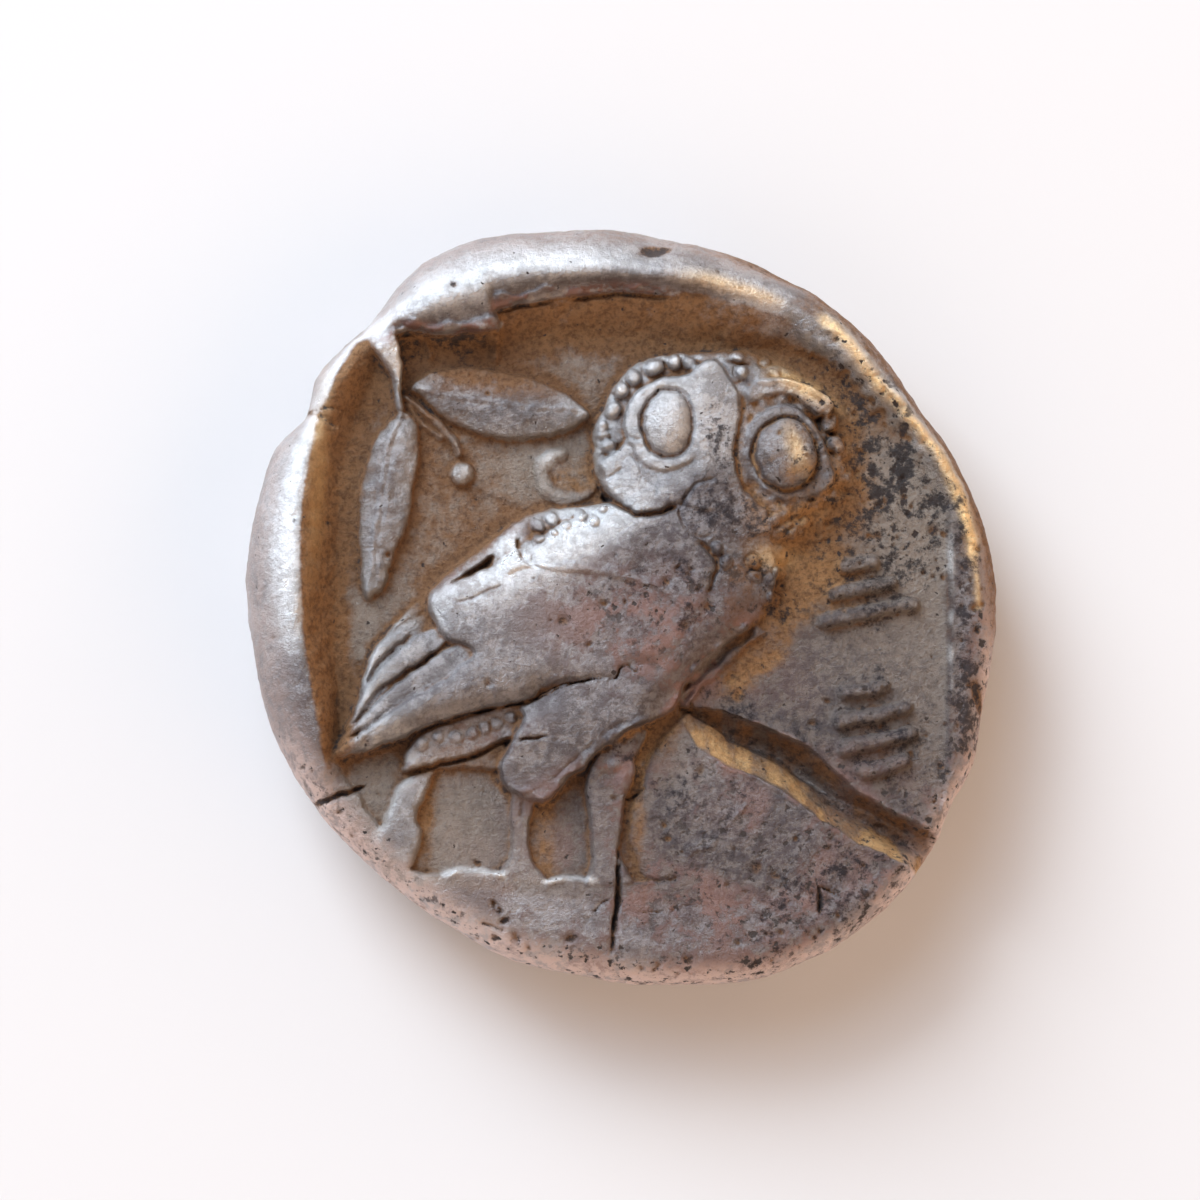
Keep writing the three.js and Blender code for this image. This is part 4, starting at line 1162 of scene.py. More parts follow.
def thin_out(piece, ratio):
    """Collapses edges where the surface is plain, and keeps them where it turns."""
    modifier = piece.modifiers.new("Thin out", "DECIMATE")
    modifier.ratio = ratio
    graph = bpy.context.evaluated_depsgraph_get()
    thinned = bpy.data.meshes.new_from_object(piece.evaluated_get(graph))
    piece.modifiers.clear()
    full = piece.data
    piece.data = thinned
    bpy.data.meshes.remove(full)


# ---------------------------------------------------------------- toning of the owl side, with painted highlights and shade


def owl_places(top):
    """The masks that several tones share: walls, lip bands, eyes, cut and flaps, with painted highlight lines
    on lit edges and painted shade on the lip bands.
    """
    p = SimpleNamespace()
    p.hollow = np.clip(blur(top, 0.5) - top, 0, 1)
    p.fine_hollow = np.clip(blur(top, 0.12) - top, 0, 0.3)
    p.mottle = np.clip(0.5 + 0.22 * cloud(0.5, 91) + 0.16 * cloud(0.15, 92), 0, 1)
    p.bearing = np.mod(np.degrees(np.arctan2(Y, X)), 360)
    p.radius = np.hypot(X, Y)
    p.rim = rim_radius(p.bearing)
    foot = round_outline(np.array(SQUARE_FLOOR))(p.bearing)
    inner = round_outline(np.array(LIP_INNER))(p.bearing)
    p.past_inner = p.radius - inner
    p.across_lip = p.past_inner / (p.rim - inner)
    wall = smoothstep(-0.9, 0.1, p.radius - foot) * (1 - smoothstep(-0.1, 0.12, p.past_inner))
    p.walls = wall * smoothstep(50, 75, p.bearing) * (1 - smoothstep(205, 214, p.bearing))
    top_sector = smoothstep(70, 84, p.bearing) * smoothstep(0, 8, 136 - p.bearing)
    # The right lip's flat band, turned from the window, is given painted shade.
    p.right_sector = smoothstep(28, 12, p.bearing) + smoothstep(322, 336, p.bearing)
    p.right_sector *= smoothstep(-0.25, -0.1, p.past_inner)
    # Painted highlight: a thin bright line along the foot of the right lip.
    p.right_foot = near(p.past_inner + 0.05, 0.16)
    p.right_foot *= smoothstep(24, 8, p.bearing) + smoothstep(322, 336, p.bearing)
    p.right_foot *= smoothstep(-6.2, -1.0, Y) * smoothstep(-0.9, 0.9, cloud(0.25, 78))
    # The top lip's inner band, which faces down and away from the window, is given painted shade.
    past_crest = p.radius - mix(inner, p.rim, lip_crest(p.bearing))
    p.lip_hollow = top_sector * smoothstep(0.0, 0.12, p.past_inner) * smoothstep(0.25, 0.0, past_crest)
    p.pupils = patches((1, 5.3, 5.0, 1.1, 1.2, 0), (1, 1.45, 5.95, 0.9, 1.1, 0))
    p.right_disc = zone((5.6, 4.9), 2.3, 2.9)
    p.eye_ring = smoothstep(1.1, 1.0, ellipse_radius((5.42, 5.06), 1.5, 1.64, -8, WHOLE)) * (1 - p.pupils)
    p.strokes = zone((8.1, -1.5), 2.6, 4.4) * smoothstep(0.16, 0.26, top)

    depth, share, place, valley = cut_place()
    p.in_cut = smoothstep(0, 0.12, depth)
    p.bank = near(depth, 0.1) * smoothstep(0.02, 0.1, share) * smoothstep(10.9, 10.2, X)
    p.bank *= smoothstep(-0.6, 1.0, cloud(0.2, 77))
    p.past_valley = place - valley
    p.lower_wall = smoothstep(0.0, 0.12, p.past_valley)
    p.streaky = smoothstep(-0.4, 0.8, cloud(0.14, 95, 0.4))

    to_lip_flap = np.minimum(to_line(LOWER_FLAP)[0], to_line(UPPER_FLAP)[0])
    p.lip_flaps = near(to_lip_flap, 0.16) + 0.4 * top_sector * near(p.past_inner, 0.16)
    p.tongue = zone((-7.8, 8.5), 0.34, 1.2, 24)
    p.breast_flaps = zone((2.75, -1.98), 2.1, 0.36, 46)
    p.beside_bar = patches((1, -4.75, 1.8, 1.6, 0.3, 40), (0.5, -2.95, 2.3, 0.4, 0.5, 0))
    # Painted highlights: bright lines along the top of the strip between the feet and along the tail's upper
    # edge.
    to_feet = np.minimum(to_line(FEET_LEFT)[0], to_line(FEET_RIGHT)[0])
    p.lit = near(to_feet, 0.12) + 0.45 * near(to_line(TAIL_EDGE)[0], 0.14)
    p.to_golden_edge, _ = to_line(GOLDEN_EDGE)
    # Where the right lip's crest carries a painted glint of the warm lamp.
    p.golden_crest = near(p.to_golden_edge, 0.2)
    return p


def brown_tone(top, p):
    """Brown in the hollows, on the walls and in stains over corners of the field; on the walls and down the
    right sides of the legs and tail it is partly painted shade.
    """
    # Stains, with painted shade down the right sides of the legs and the tail (the rows at x 0.5, -2.45 and
    # -6.25).
    stained = patches(
        (1, 7.2, 3.6, 1.2, 2.6, -20), (0.9, 5.5, 2.1, 2.6, 1.2, -10), (0.6, 6.4, 7.2, 2.2, 0.9, -35),
        (0.9, 5.2, -0.2, 1.0, 2.6, -30), (0.75, -6.2, 4.0, 3.4, 5.0, 8), (0.7, -3.0, 7.9, 4.6, 1.2, 0),
        (0.6, 3.75, -2.45, 1.9, 0.55, 42), (0.5, -5.0, -5.2, 2.0, 0.8, 15), (0.9, 0.5, -6.6, 0.32, 2.6, 4),
        (0.9, -6.25, -6.9, 0.32, 1.6, -6), (0.9, -2.45, -7.2, 0.4, 1.7, 0), (0.35, 7.2, 0.6, 1.2, 1.4, 0),
        (0.8, -1.6, 4.35, 0.7, 0.6, 0), (0.8, 1.4, -4.2, 0.7, 1.0, -30), (0.5, -4.2, 1.0, 3.0, 1.6, 40),
    )
    low = 1 - smoothstep(0.2, 0.44, top)
    # On the walls the brown is partly toning and partly painted shade of walls turned from the window.
    brown = p.walls * mix(0.6, 1.1, p.mottle)
    brown += 2.2 * np.clip(p.hollow - 0.04, 0, 1) + 5.5 * np.clip(p.fine_hollow - 0.015, 0, 0.2)
    brown += stained * mix(0.3, 1.0, low) * mix(0.45, 1.0, p.mottle) + 0.04 * p.lip_hollow
    brown += 0.75 * p.right_disc * (1 - 0.75 * p.pupils) * mix(0.5, 1.0, p.mottle)
    # The right lip's band is partly painted shade here as well.
    brown += 0.5 * zone((-4.0, 7.3), 2.6, 0.5, -8) + 0.35 * p.right_sector * mix(0.4, 1, p.mottle)
    brown += p.mottle * patches((0.65, 5.7, 4.6, 0.8, 1.0, 20), (0.5, 4.1, 0.7, 1.0, 1.8, -10))
    upper_right = smoothstep(60, 80, p.bearing) * smoothstep(112, 95, p.bearing)
    brown += 0.3 * smoothstep(0.55, 0.9, p.across_lip) * upper_right
    brown = mix(brown, 0.45 + 0.4 * p.streaky, p.in_cut) * (1 - 0.8 * p.bank)
    brown *= 1 - np.clip(0.8 * p.lip_flaps + p.tongue, 0, 1)
    outer_slope = smoothstep(0.15, 0.4, p.to_golden_edge) * smoothstep(0.2, 0.5, p.past_inner)
    brown += 0.55 * outer_slope * smoothstep(66, 56, p.bearing) * smoothstep(6, 14, p.bearing)
    brown *= 1 - 0.6 * np.clip(p.golden_crest, 0, 1)
    cleaner = patches(
        (1, 7.9, 1.4, 1.1, 1.3, 0), (1, 5.7, -3.0, 1.5, 1.2, -20), (1, -4.9, -6.3, 1.0, 1.2, 0),
    )
    brown *= (1 - 0.4 * cleaner) * (1 - 0.6 * p.eye_ring) * (1 - 0.8 * p.right_foot)
    brown *= (1 - 0.8 * p.strokes) * (1 - 0.8 * p.breast_flaps) * (1 - 0.8 * np.clip(p.lit, 0, 1))
    return brown + 0.3 * p.beside_bar + 0.3 * zone((-5.2, -4.7), 1.9, 0.7, 22)


def amber_tone(p):
    """Golden brown where the toning is thin; on the walls and the cut's lower wall it is partly a painted
    warm reflection, and down the right sides of the left leg and the tail partly painted shade.
    """
    amber = patches(
        (0.55, 6.2, 3.4, 1.8, 2.8, -15), (0.8, 5.3, -0.4, 1.0, 2.4, -30), (1, 3.8, -2.6, 2.2, 0.5, 42),
    )
    amber *= mix(0.35, 1.0, p.mottle)
    # On the walls, partly a painted warm reflection; the rows at x -2.45 and -6.25 are painted shade down the
    # left leg's and the tail's right sides.
    amber += 0.7 * p.right_disc + 0.35 * p.walls + patches(
        (0.3, 7.2, 0.6, 1.0, 1.0, 0), (0.5, -1.6, 4.35, 0.7, 0.6, 0), (0.7, 0.9, -5.4, 0.9, 3.4, 12),
        (0.6, -2.45, -7.2, 0.5, 1.8, 0), (0.5, -6.25, -6.9, 0.5, 1.8, 0),
    )
    # On the cut's lower wall, which faces up and right, a painted warm reflection.
    return mix(amber, 1.3 * p.lower_wall * mix(0.6, 1.0, p.streaky), p.in_cut)


def tarnish_tone(p):
    """Dark grey: ragged patches of tarnished metal, and tarnished metal with painted shade on the cut's upper
    wall and along its valley.
    """
    ragged = smoothstep(0.3, 0.85, 0.5 + 0.2 * cloud(0.35, 93) + 0.2 * cloud(0.1, 94))
    tarnish = tarnish_zone() * ragged * mix(0.75, 1.1, smoothstep(-7, -4, Y))
    tarnish += 5 * np.clip(p.fine_hollow - 0.03, 0, 0.2) + patches(
        (0.5, 2.75, 3.2, 0.9, 0.9, 0), (0.5, 3.2, 5.2, 0.6, 1.4, 10), (0.5, 4.1, 2.9, 0.9, 0.6, -30),
        (0.5, 0.1, -4.85, 0.6, 0.5, 0), (0.5, -6.86, 8.2, 0.4, 0.5, 0), (0.4, -5.2, 8.3, 0.8, 0.45, 0),
        (0.15, 2.5, -4.7, 1.2, 0.9, -40), (0.4, 3.6, -3.2, 1.3, 0.5, -20), (0.5, 11.15, -0.6, 0.3, 4.0, 0),
    )
    # Painted shade with some tarnish on the cut's upper wall and in its valley.
    in_valley = 0.2 * (1 - p.lower_wall) + 0.35 * near(p.past_valley + 0.03, 0.13)
    tarnish = mix(tarnish, in_valley, p.in_cut) * (1 - 0.7 * p.bank)
    return tarnish * (1 - 0.8 * p.right_foot) * (1 - 0.8 * p.breast_flaps)


def pitted_tone(p):
    """Where dark specks of dirt sit thick."""
    pitted = tarnish_zone() + patches(
        (0.7, 6.6, 4.4, 2.4, 4.2, -10), (0.6, 5.0, -9.0, 7.0, 3.0, 20), (0.4, 1.8, -0.8, 4.0, 2.2, 10),
    )
    return pitted + 0.7 * smoothstep(0.9, 0.95, p.radius / p.rim) * smoothstep(195, 220, p.bearing)


def blush_tone(p):
    """Pinkish silver, patchy on the plain ground at the lower right, and a painted reflection of the floor on
    the lower left rim.
    """
    plate = zone((4.2, -7.4), 5.6, 3.6, -10)
    warm = cloud(0.5, 79)
    blush = patches(
        (0.6, 3.0, -8.5, 7.5, 3.4, 10), (0.9, 1.0, -0.9, 3.8, 1.8, -14), (0.7, -4.6, 1.6, 2.0, 0.5, 38),
        (0.6, -5.2, -4.6, 2.0, 0.8, 22), (0.8, 0.0, -5.0, 0.7, 0.6, 0), (0.5, -2.2, -5.8, 1.6, 0.5, 35),
        (0.9, 2.75, -1.98, 2.1, 0.4, 46), (1, -7.7, 8.5, 0.5, 0.9, 20), (0.5, 3.2, -1.8, 2.4, 0.5, 45),
    )
    # Painted reflection: the pale floor's pink glow on the lower left rim.
    blush += 0.7 * smoothstep(0.9, 0.97, p.radius / p.rim) * smoothstep(190, 215, p.bearing)
    blush += p.lip_flaps + 0.6 * p.bank
    return blush + plate * (0.4 * smoothstep(0.1, 1.1, warm) - 0.5 * smoothstep(0.2, 1.0, -warm))


def dulled_tone(p):
    """Darker silver, most of it at the lower right, plus painted shade in the top lip's inner band and on the
    right lip's flat band.
    """
    dulled = patches(
        (1, 4.0, -5.0, 8.5, 7.0, 0), (0.8, 2.5, 0.7, 3.2, 3.2, 20), (0.7, 2.9, 3.1, 1.3, 1.1, 0),
        (0.15, -2.5, -5.0, 2.5, 2.5, 0), (0.6, -4.0, 6.5, 3.0, 1.2, -5), (0.45, -7.8, 3.2, 1.0, 3.2, 0),
        (0.7, 5.0, -8.9, 6.2, 2.2, 14), (0.4, -3.1, 2.15, 0.8, 0.5, 40), (0.4, -6.2, -2.9, 2.6, 1.2, 35),
        (0.3, 0.6, 3.9, 1.4, 1.1, 0), (-0.4, 2.3, -5.0, 1.1, 0.9, -30), (1, -11.0, -4.6, 1.7, 3.6, 20),
        (0.3, -9.9, -2.5, 1.0, 4.0, 10),
    )
    # Painted shade on the top lip's inner band and the right lip's flat band.
    dulled += 0.6 * p.lip_hollow + p.right_sector + 0.5 * p.pupils * p.right_disc
    return dulled + 0.5 * p.eye_ring + 0.35 * p.strokes - 0.9 * p.right_foot


def gilt_tone(p):
    """Thin gold toning and a painted glint of the warm lamp, on a few crests that face up and right and on
    the lower wall of the cut.
    """
    upper_right = smoothstep(60, 66, p.bearing) * smoothstep(84, 74, p.bearing)
    # A painted glint of the warm lamp on the upper right lip, on the right crest and on the right rim, with
    # thin gold toning.
    gilt = 0.6 * near(p.across_lip - 0.3, 0.16) * upper_right
    gilt += p.golden_crest + 0.6 * near(p.radius - p.rim + 0.55, 0.1) * smoothstep(26, 18, p.bearing)
    gilt += patches(
        (0.9, 5.9, 7.25, 1.2, 0.32, -28), (0.6, 5.6, 5.1, 0.3, 0.8, 20), (0.4, -9.9, 4.0, 0.3, 3.0, -4),
        (0.5, 5.0, 1.7, 0.7, 0.4, 0),
    )
    on_wall = p.in_cut * p.lower_wall * smoothstep(0.05, 0.4, p.past_valley)
    return gilt + 0.45 * on_wall * mix(0.3, 1.0, p.streaky)


def wear_tone(top, dulled, p):
    """Bright where handling has worn the high points, plus painted highlights on the lip crests, the lit
    edges, the lower rim and the wing's shoulder.
    """
    shiny_at = np.interp(p.bearing, [70, 100, 125, 150, 200], [0.45, 0.45, 0.5, 0.3, 0.22])
    left_half = smoothstep(80, 105, p.bearing) * smoothstep(197, 182, p.bearing)
    # Painted highlight: a bright band along the lip crests on the upper left, where the window's light
    # glances off them.
    lips = near(p.across_lip - shiny_at, 0.26) * left_half
    wear = 1.3 * (top - blur(top, 0.4)) - 0.5 * dulled - 0.5 * p.lip_flaps + 0.82 * lips
    # Painted reflection: a light band where the lower rim begins to round over.
    lower_rim = smoothstep(228, 240, p.bearing) * smoothstep(305, 290, p.bearing)
    wear += 0.16 * smoothstep(0.86, 0.92, p.radius / p.rim) * lower_rim
    # The thin line at the right lip's foot and the lit lines of the feet and tail are painted highlights.
    wear += 0.4 * p.breast_flaps + 0.2 * p.bank + 0.6 * p.right_foot + 0.5 * p.tongue
    wear += p.lit - 0.9 * p.beside_bar
    # Worn high points, painted partly as highlights: the crescent's arc, the face, the wing's shoulder, the
    # feathers and the upright bar.
    return wear + patches(
        (0.6, -2.35, 4.75, 0.35, 0.6, 20), (0.36, 0.7, 6.3, 2.3, 3.2, 0), (0.9, -2.2, 2.0, 4.2, 1.1, 26),
        (0.2, -7.6, -3.0, 1.8, 1.6, 30), (0.7, -3.6, 1.72, 0.3, 0.72, -8),
    )


def toning_maps(top, flaw):
    """Each tone of the owl side from 0 to 1, some of them carrying painted highlights and shade; flaws in the
    metal hold dirt.
    """
    p = owl_places(top)
    dulled = dulled_tone(p)
    maps = {
        "brown": brown_tone(top, p) + 0.6 * flaw,
        "amber": amber_tone(p),
        "tarnish": np.maximum(tarnish_tone(p), 0.9 * flaw),
        "pitted": pitted_tone(p),
        "blush": blush_tone(p),
        "wear": wear_tone(top, dulled, p),
        "matt": (1 - smoothstep(0.2, 0.5, top)) * (1 - smoothstep(0.0, 0.3, p.past_inner)),
        "dulled": dulled * (1 - 0.7 * p.breast_flaps),
        "gilt": gilt_tone(p),
    }
    return {name: np.clip(field, 0, 1) for name, field in maps.items()}


def underside_toning(under):
    """The underside is evenly worn: brown in its hollows and rubbed on its high parts."""
    hollow = under - blur(under, 0.5)
    fine_hollow = under - blur(under, 0.14)
    maps = {
        "brown": 0.22 + 2.5 * np.clip(hollow, 0, 1) + 6 * np.clip(fine_hollow, 0, 0.2),
        "wear": 0.25 - 1.6 * hollow,
        "dulled": 0.45 + 0.2 * cloud(0.8, 84),
        "pitted": np.full_like(under, 0.25),
    }
    return {name: np.clip(field, 0, 1) for name, field in maps.items()}


def paint(mesh, name, values):
    mesh.attributes.new(name, "FLOAT", "POINT").data.foreach_set("value", values.astype(np.float32))


def paint_tones(mesh, top, flaw, under, points):
    """Paints every tone on the skin; points are its own, in millimetres of the flan."""
    x, y, height = points.T
    bearing = np.degrees(np.arctan2(y, x))
    radius, rim = np.hypot(x, y), rim_radius(bearing)
    on_top = smoothstep(BULGE - 0.6, BULGE + 0.8, height)
    face_down = smoothstep(BULGE - 0.2, BULGE - 1.2, height) * smoothstep(0.99, 0.88, radius / rim)
    below = underside_toning(under)
    for name, field in toning_maps(top, flaw).items():
        values = struck(field, x, y) * on_top
        if name in below:
            values += sample(below[name], x, y) * face_down
        paint(mesh, name, values)
    # The edge's pale pinkish tone is partly a painted reflection of the pale floor; it is held back on the
    # brightly lit upper and left side.
    reach = (rim - radius) / edge_round(bearing)
    reach /= 1 + 0.6 * smoothstep(0.75, 0.95, np.cos(np.radians(bearing + 18)))
    edge = 1 - smoothstep(0.05, 0.75, reach) * (height > BULGE)
    turned = np.mod(bearing, 360)
    bright_side = smoothstep(66, 84, turned) * smoothstep(214, 196, turned)
    edge *= 1 - 0.55 * bright_side * smoothstep(-0.6, 0.4, height - BULGE)
    edge *= 1 - face_down
    paint(mesh, "edge", edge)
    towards_right = 0.5 + 0.5 * np.cos(np.radians(bearing - 38))
    paint(mesh, "edge_stain", edge * smoothstep(0.78, 0.95, towards_right))


# ---------------------------------------------------------------- worn silver, with painted light in its tones


def feed(tree, socket, value):
    """Links a node's output to a socket, or sets the socket to a number or a colour."""
    if isinstance(value, bpy.types.NodeSocket):
        tree.links.new(value, socket)
    elif isinstance(value, (int, float)):
        socket.default_value = value
    else:
        socket.default_value = (*value, 1)


def smooth_ramp(tree, source, low, high, out_low=0.0, out_high=1.0):
    """Runs smoothly from out_low to out_high while the source runs from low to high."""
    node = tree.nodes.new("ShaderNodeMapRange")
    node.interpolation_type = "SMOOTHSTEP"
    names = ("Value", "From Min", "From Max", "To Min", "To Max")
    for name, value in zip(names, (source, low, high, out_low, out_high)):
        feed(tree, node.inputs[name], value)
    return node.outputs["Result"]


def blend_colours(tree, share, first, second):
    node = tree.nodes.new("ShaderNodeMix")
    node.data_type = "RGBA"
    sockets = [socket for socket in node.inputs if socket.enabled]
    for socket, value in zip(sockets, (share, first, second)):
        feed(tree, socket, value)
    return [socket for socket in node.outputs if socket.enabled][0]


def silver_material(tones):
    """Worn silver under brown and grey toning, with scratches and fine pitting; some of its tones carry
    painted highlights, glints and shade.
    """
    material = bpy.data.materials.new("worn_silver")
    material.use_nodes = True
    tree = material.node_tree
    nodes, links = tree.nodes, tree.links
    surface = nodes["Principled BSDF"]
    place = nodes.new("ShaderNodeTexCoord").outputs["Object"]
    ramp, blend = partial(smooth_ramp, tree), partial(blend_colours, tree)

    def calc(operation, first, second):
        node = nodes.new("ShaderNodeMath")
        node.operation = operation
        feed(tree, node.inputs[0], first)
        feed(tree, node.inputs[1], second)
        return node.outputs[0]

    times = partial(calc, "MULTIPLY")
    lesser = partial(calc, "SUBTRACT")

    def plus(start, *terms):
        """The start and each term, which is a field and its factor, added up."""
        for field, factor in terms:
            start = calc("ADD", start, times(field, factor))
        return start

    def noise(scale, detail, roughness, streak=None):
        """Noise whose scale counts features to the millimetre; streak is (degrees, thinness)."""
        texture = nodes.new("ShaderNodeTexNoise")
        for name, value in (("Scale", scale / MM), ("Detail", detail), ("Roughness", roughness)):
            texture.inputs[name].default_value = value
        source = place
        if streak:
            mapping = nodes.new("ShaderNodeMapping")
            mapping.inputs["Rotation"].default_value = (0, 0, math.radians(streak[0]))
            mapping.inputs["Scale"].default_value = (streak[1], 1, 1)
            links.new(place, mapping.inputs["Vector"])
            source = mapping.outputs["Vector"]
        links.new(source, texture.inputs["Vector"])
        return texture.outputs["Fac"]

    def spots(scale, density):
        """Ragged dark specks, more and larger where density is high."""
        wander = nodes.new("ShaderNodeTexNoise")
        wander.inputs["Scale"].default_value = 2.2 * scale / MM
        links.new(place, wander.inputs["Vector"])
        shake = nodes.new("ShaderNodeVectorMath")
        shake.operation = "MULTIPLY_ADD"
        links.new(wander.outputs["Color"], shake.inputs[0])
        shake.inputs[1].default_value = (0.85 / scale * MM,) * 3
        links.new(place, shake.inputs[2])
        cells = nodes.new("ShaderNodeTexVoronoi")
        cells.inputs["Scale"].default_value = scale / MM
        links.new(shake.outputs["Vector"], cells.inputs["Vector"])
        split = nodes.new("ShaderNodeSeparateColor")
        links.new(cells.outputs["Color"], split.inputs["Color"])
        size = times(calc("POWER", split.outputs["Red"], 2.5), density)
        return ramp(cells.outputs["Distance"], times(size, 0.26), times(size, 0.42), 1.0, 0.0)

    def tone(name):
        node = nodes.new("ShaderNodeAttribute")
        node.attribute_name = name
        return node.outputs["Fac"]

    tarnish, pitted, wear = map(tone, ("tarnish", "pitted", "wear"))
    matt, gilt, edge = map(tone, ("matt", "gilt", "edge"))
    brown = calc("MAXIMUM", tone("brown"), times(tone("edge_stain"), 0.85))
    broad = noise(0.6, 3, 0.5)
    grain = noise(2.6, 8, 0.72)
    speckle = noise(5.5, 5, 0.75)
    fine_grain = noise(13, 5, 0.75)
    uneven = lesser(grain, 0.5)

    brown_share = ramp(calc("ADD", brown, uneven), 0.12, 0.8)
    ragged = plus(lesser(speckle, 0.5), (uneven, 1.6))
    dark_share = times(ramp(plus(tarnish, (ragged, 2.2)), 0.25, 1.0), ramp(tarnish, 0.04, 0.3))
    blotches = ramp(noise(1.9, 6, 0.7), 0.56, 0.64)
    grains = ramp(noise(4.2, 4, 0.6), 0.6, 0.7)
    dirt = times(calc("MAXIMUM", blotches, grains), calc("ADD", pitted, 0.08))
    dirt = calc("MAXIMUM", dirt, spots(2.8, plus(0.42, (pitted, 0.75))))
    patchy = ramp(plus(broad, (uneven, 0.8)), 0.4, 0.6)
    worn_through = ramp(speckle, 0.5, 0.68)

    silver = blend(patchy, tones.silver, tones.silver_grey)
    for share, coat in (
        (times(worn_through, 0.5), tones.dulled),
        (matt, tones.field),
        (times(matt, times(worn_through, 0.45)), tones.dulled),
        (times(tone("dulled"), ramp(grain, 0.4, 0.6, 0.62, 0.98)), tones.dulled),
        (times(tone("blush"), ramp(patchy, 0, 1, 0.15, 0.95)), tones.blush),
        (times(edge, ramp(grain, 0.38, 0.56, 0.3, 1.0)), tones.edge),
        # Worn bright silver, which also paints the highlights the mask carries.
        (times(wear, ramp(grain, 0.38, 0.6, 0.95, 0.6)), tones.rubbed),
    ):
        silver = blend(share, silver, coat)
    toned = blend(times(tone("amber"), ramp(broad, 0.35, 0.55, 0.5, 1.0)), tones.brown, tones.amber)
    toned = blend(ramp(speckle, 0.42, 0.65, 0, 0.75), toned, tones.brown_deep)
    colour = blend(brown_share, silver, toned)
    # Gold toning together with the warm lamp's painted glint.
    colour = blend(times(gilt, ramp(grain, 0.38, 0.62, 1.0, 0.65)), colour, tones.gilt)
    colour = blend(times(dark_share, 0.85), colour, tones.tarnish)
    links.new(blend(dirt, colour, tones.speck), surface.inputs["Base Color"])

    metal = lesser(1.0, times(times(brown_share, lesser(1.0, gilt)), 0.5))
    links.new(times(metal, lesser(1.0, times(dirt, 0.7))), surface.inputs["Metallic"])

    rough = plus(
        ramp(grain, 0.38, 0.62, 0.37, 0.53), (wear, -0.13), (gilt, -0.1), (matt, 0.08), (edge, 0.06),
        (brown_share, 0.14), (dark_share, 0.15), (pitted, 0.09),
    )
    links.new(rough, surface.inputs["Roughness"])

    scratches = calc("ADD", noise(9, 3, 0.6, (-32, 0.12)), noise(8, 3, 0.6, (50, 0.14)))
    height = plus(
        times(grain, 1.25), (speckle, 1.1), (fine_grain, 0.45), (scratches, 0.22),
        (times(speckle, matt), 0.9), (noise(4.5, 5, 0.65), pitted), (noise(2.2, 6, 0.65), times(edge, 2.0)),
        (dirt, -0.5),
    )
    bump = nodes.new("ShaderNodeBump")
    bump.inputs["Strength"].default_value = 1.0
    bump.inputs["Distance"].default_value = 0.053 * MM
    links.new(height, bump.inputs["Height"])
    links.new(bump.outputs["Normal"], surface.inputs["Normal"])
    return material


# ---------------------------------------------------------------- the add-on


class CoinSizes(bpy.types.PropertyGroup):
    columns: IntProperty(
        name="Columns", description="Points round the skin before it is thinned", default=1100, min=64
    )
    triangles: IntProperty(
        name="Triangles", description="Triangles kept in the finished skin", default=192000, min=2000
    )


class CoinTones(bpy.types.PropertyGroup):
    def tone(label, text, value):
        return FloatVectorProperty(name=label, description=text, default=value, subtype="COLOR", min=0, max=1)

    silver: tone("Silver", "Clean worn silver", (0.40, 0.385, 0.395))
    silver_grey: tone("Grey silver", "Dulled silver in the mottle", (0.24, 0.228, 0.235))
    # Also the colour of the painted highlights on the lip crests, the lit edges and the wing.
    rubbed: tone("Rubbed silver", "High points that wear keeps bright", (0.86, 0.88, 0.91))
    field: tone("Field", "Warm matt silver of the ground", (0.315, 0.267, 0.23))
    # Also the colour of painted shade on the lip bands.
    dulled: tone("Dulled silver", "Darker silver of the lower right", (0.105, 0.09, 0.096))
    blush: tone("Blush", "Pinkish silver near the lower edge", (0.29, 0.18, 0.16))
    # Also the colour of the warm lamp's painted glint on crests facing it.
    gilt: tone("Gilt", "Thin golden toning on a few crests", (0.90, 0.63, 0.33))
    # Partly a painted reflection of the pale floor on the rounded edge.
    edge: tone("Edge", "Dull pinkish silver round the edge", (0.70, 0.565, 0.52))
    brown: tone("Brown toning", "Brown in the hollows", (0.24, 0.125, 0.062))
    brown_deep: tone("Deep toning", "The darkest brown", (0.10, 0.048, 0.025))
    amber: tone("Amber toning", "Golden brown where the toning is thin", (0.40, 0.22, 0.095))
    # Also the colour of the painted shade in the cut's valley.
    tarnish: tone("Tarnish", "Dark grey tarnish in pitted places", (0.05, 0.046, 0.052))
    speck: tone("Specks", "Dirt in the pits", (0.04, 0.028, 0.026))


class StageSettings(bpy.types.PropertyGroup):
    floor_tone: FloatVectorProperty(
        name="Floor", description="Pale floor", default=(0.80, 0.78, 0.785), subtype="COLOR", min=0, max=1
    )
    key_power: FloatProperty(
        name="Window light", description="Cool light from the upper left", default=2.7, unit="POWER"
    )
    warm_power: FloatProperty(
        name="Warm light", description="Low warm light from the right", default=0.06, unit="POWER"
    )
    tilt: FloatProperty(
        name="Camera tilt", description="How far the camera leans off the coin's axis",
        default=math.radians(9), subtype="ANGLE",
    )
    distance: FloatProperty(
        name="Camera distance", description="From camera to coin", default=0.24, unit="LENGTH"
    )


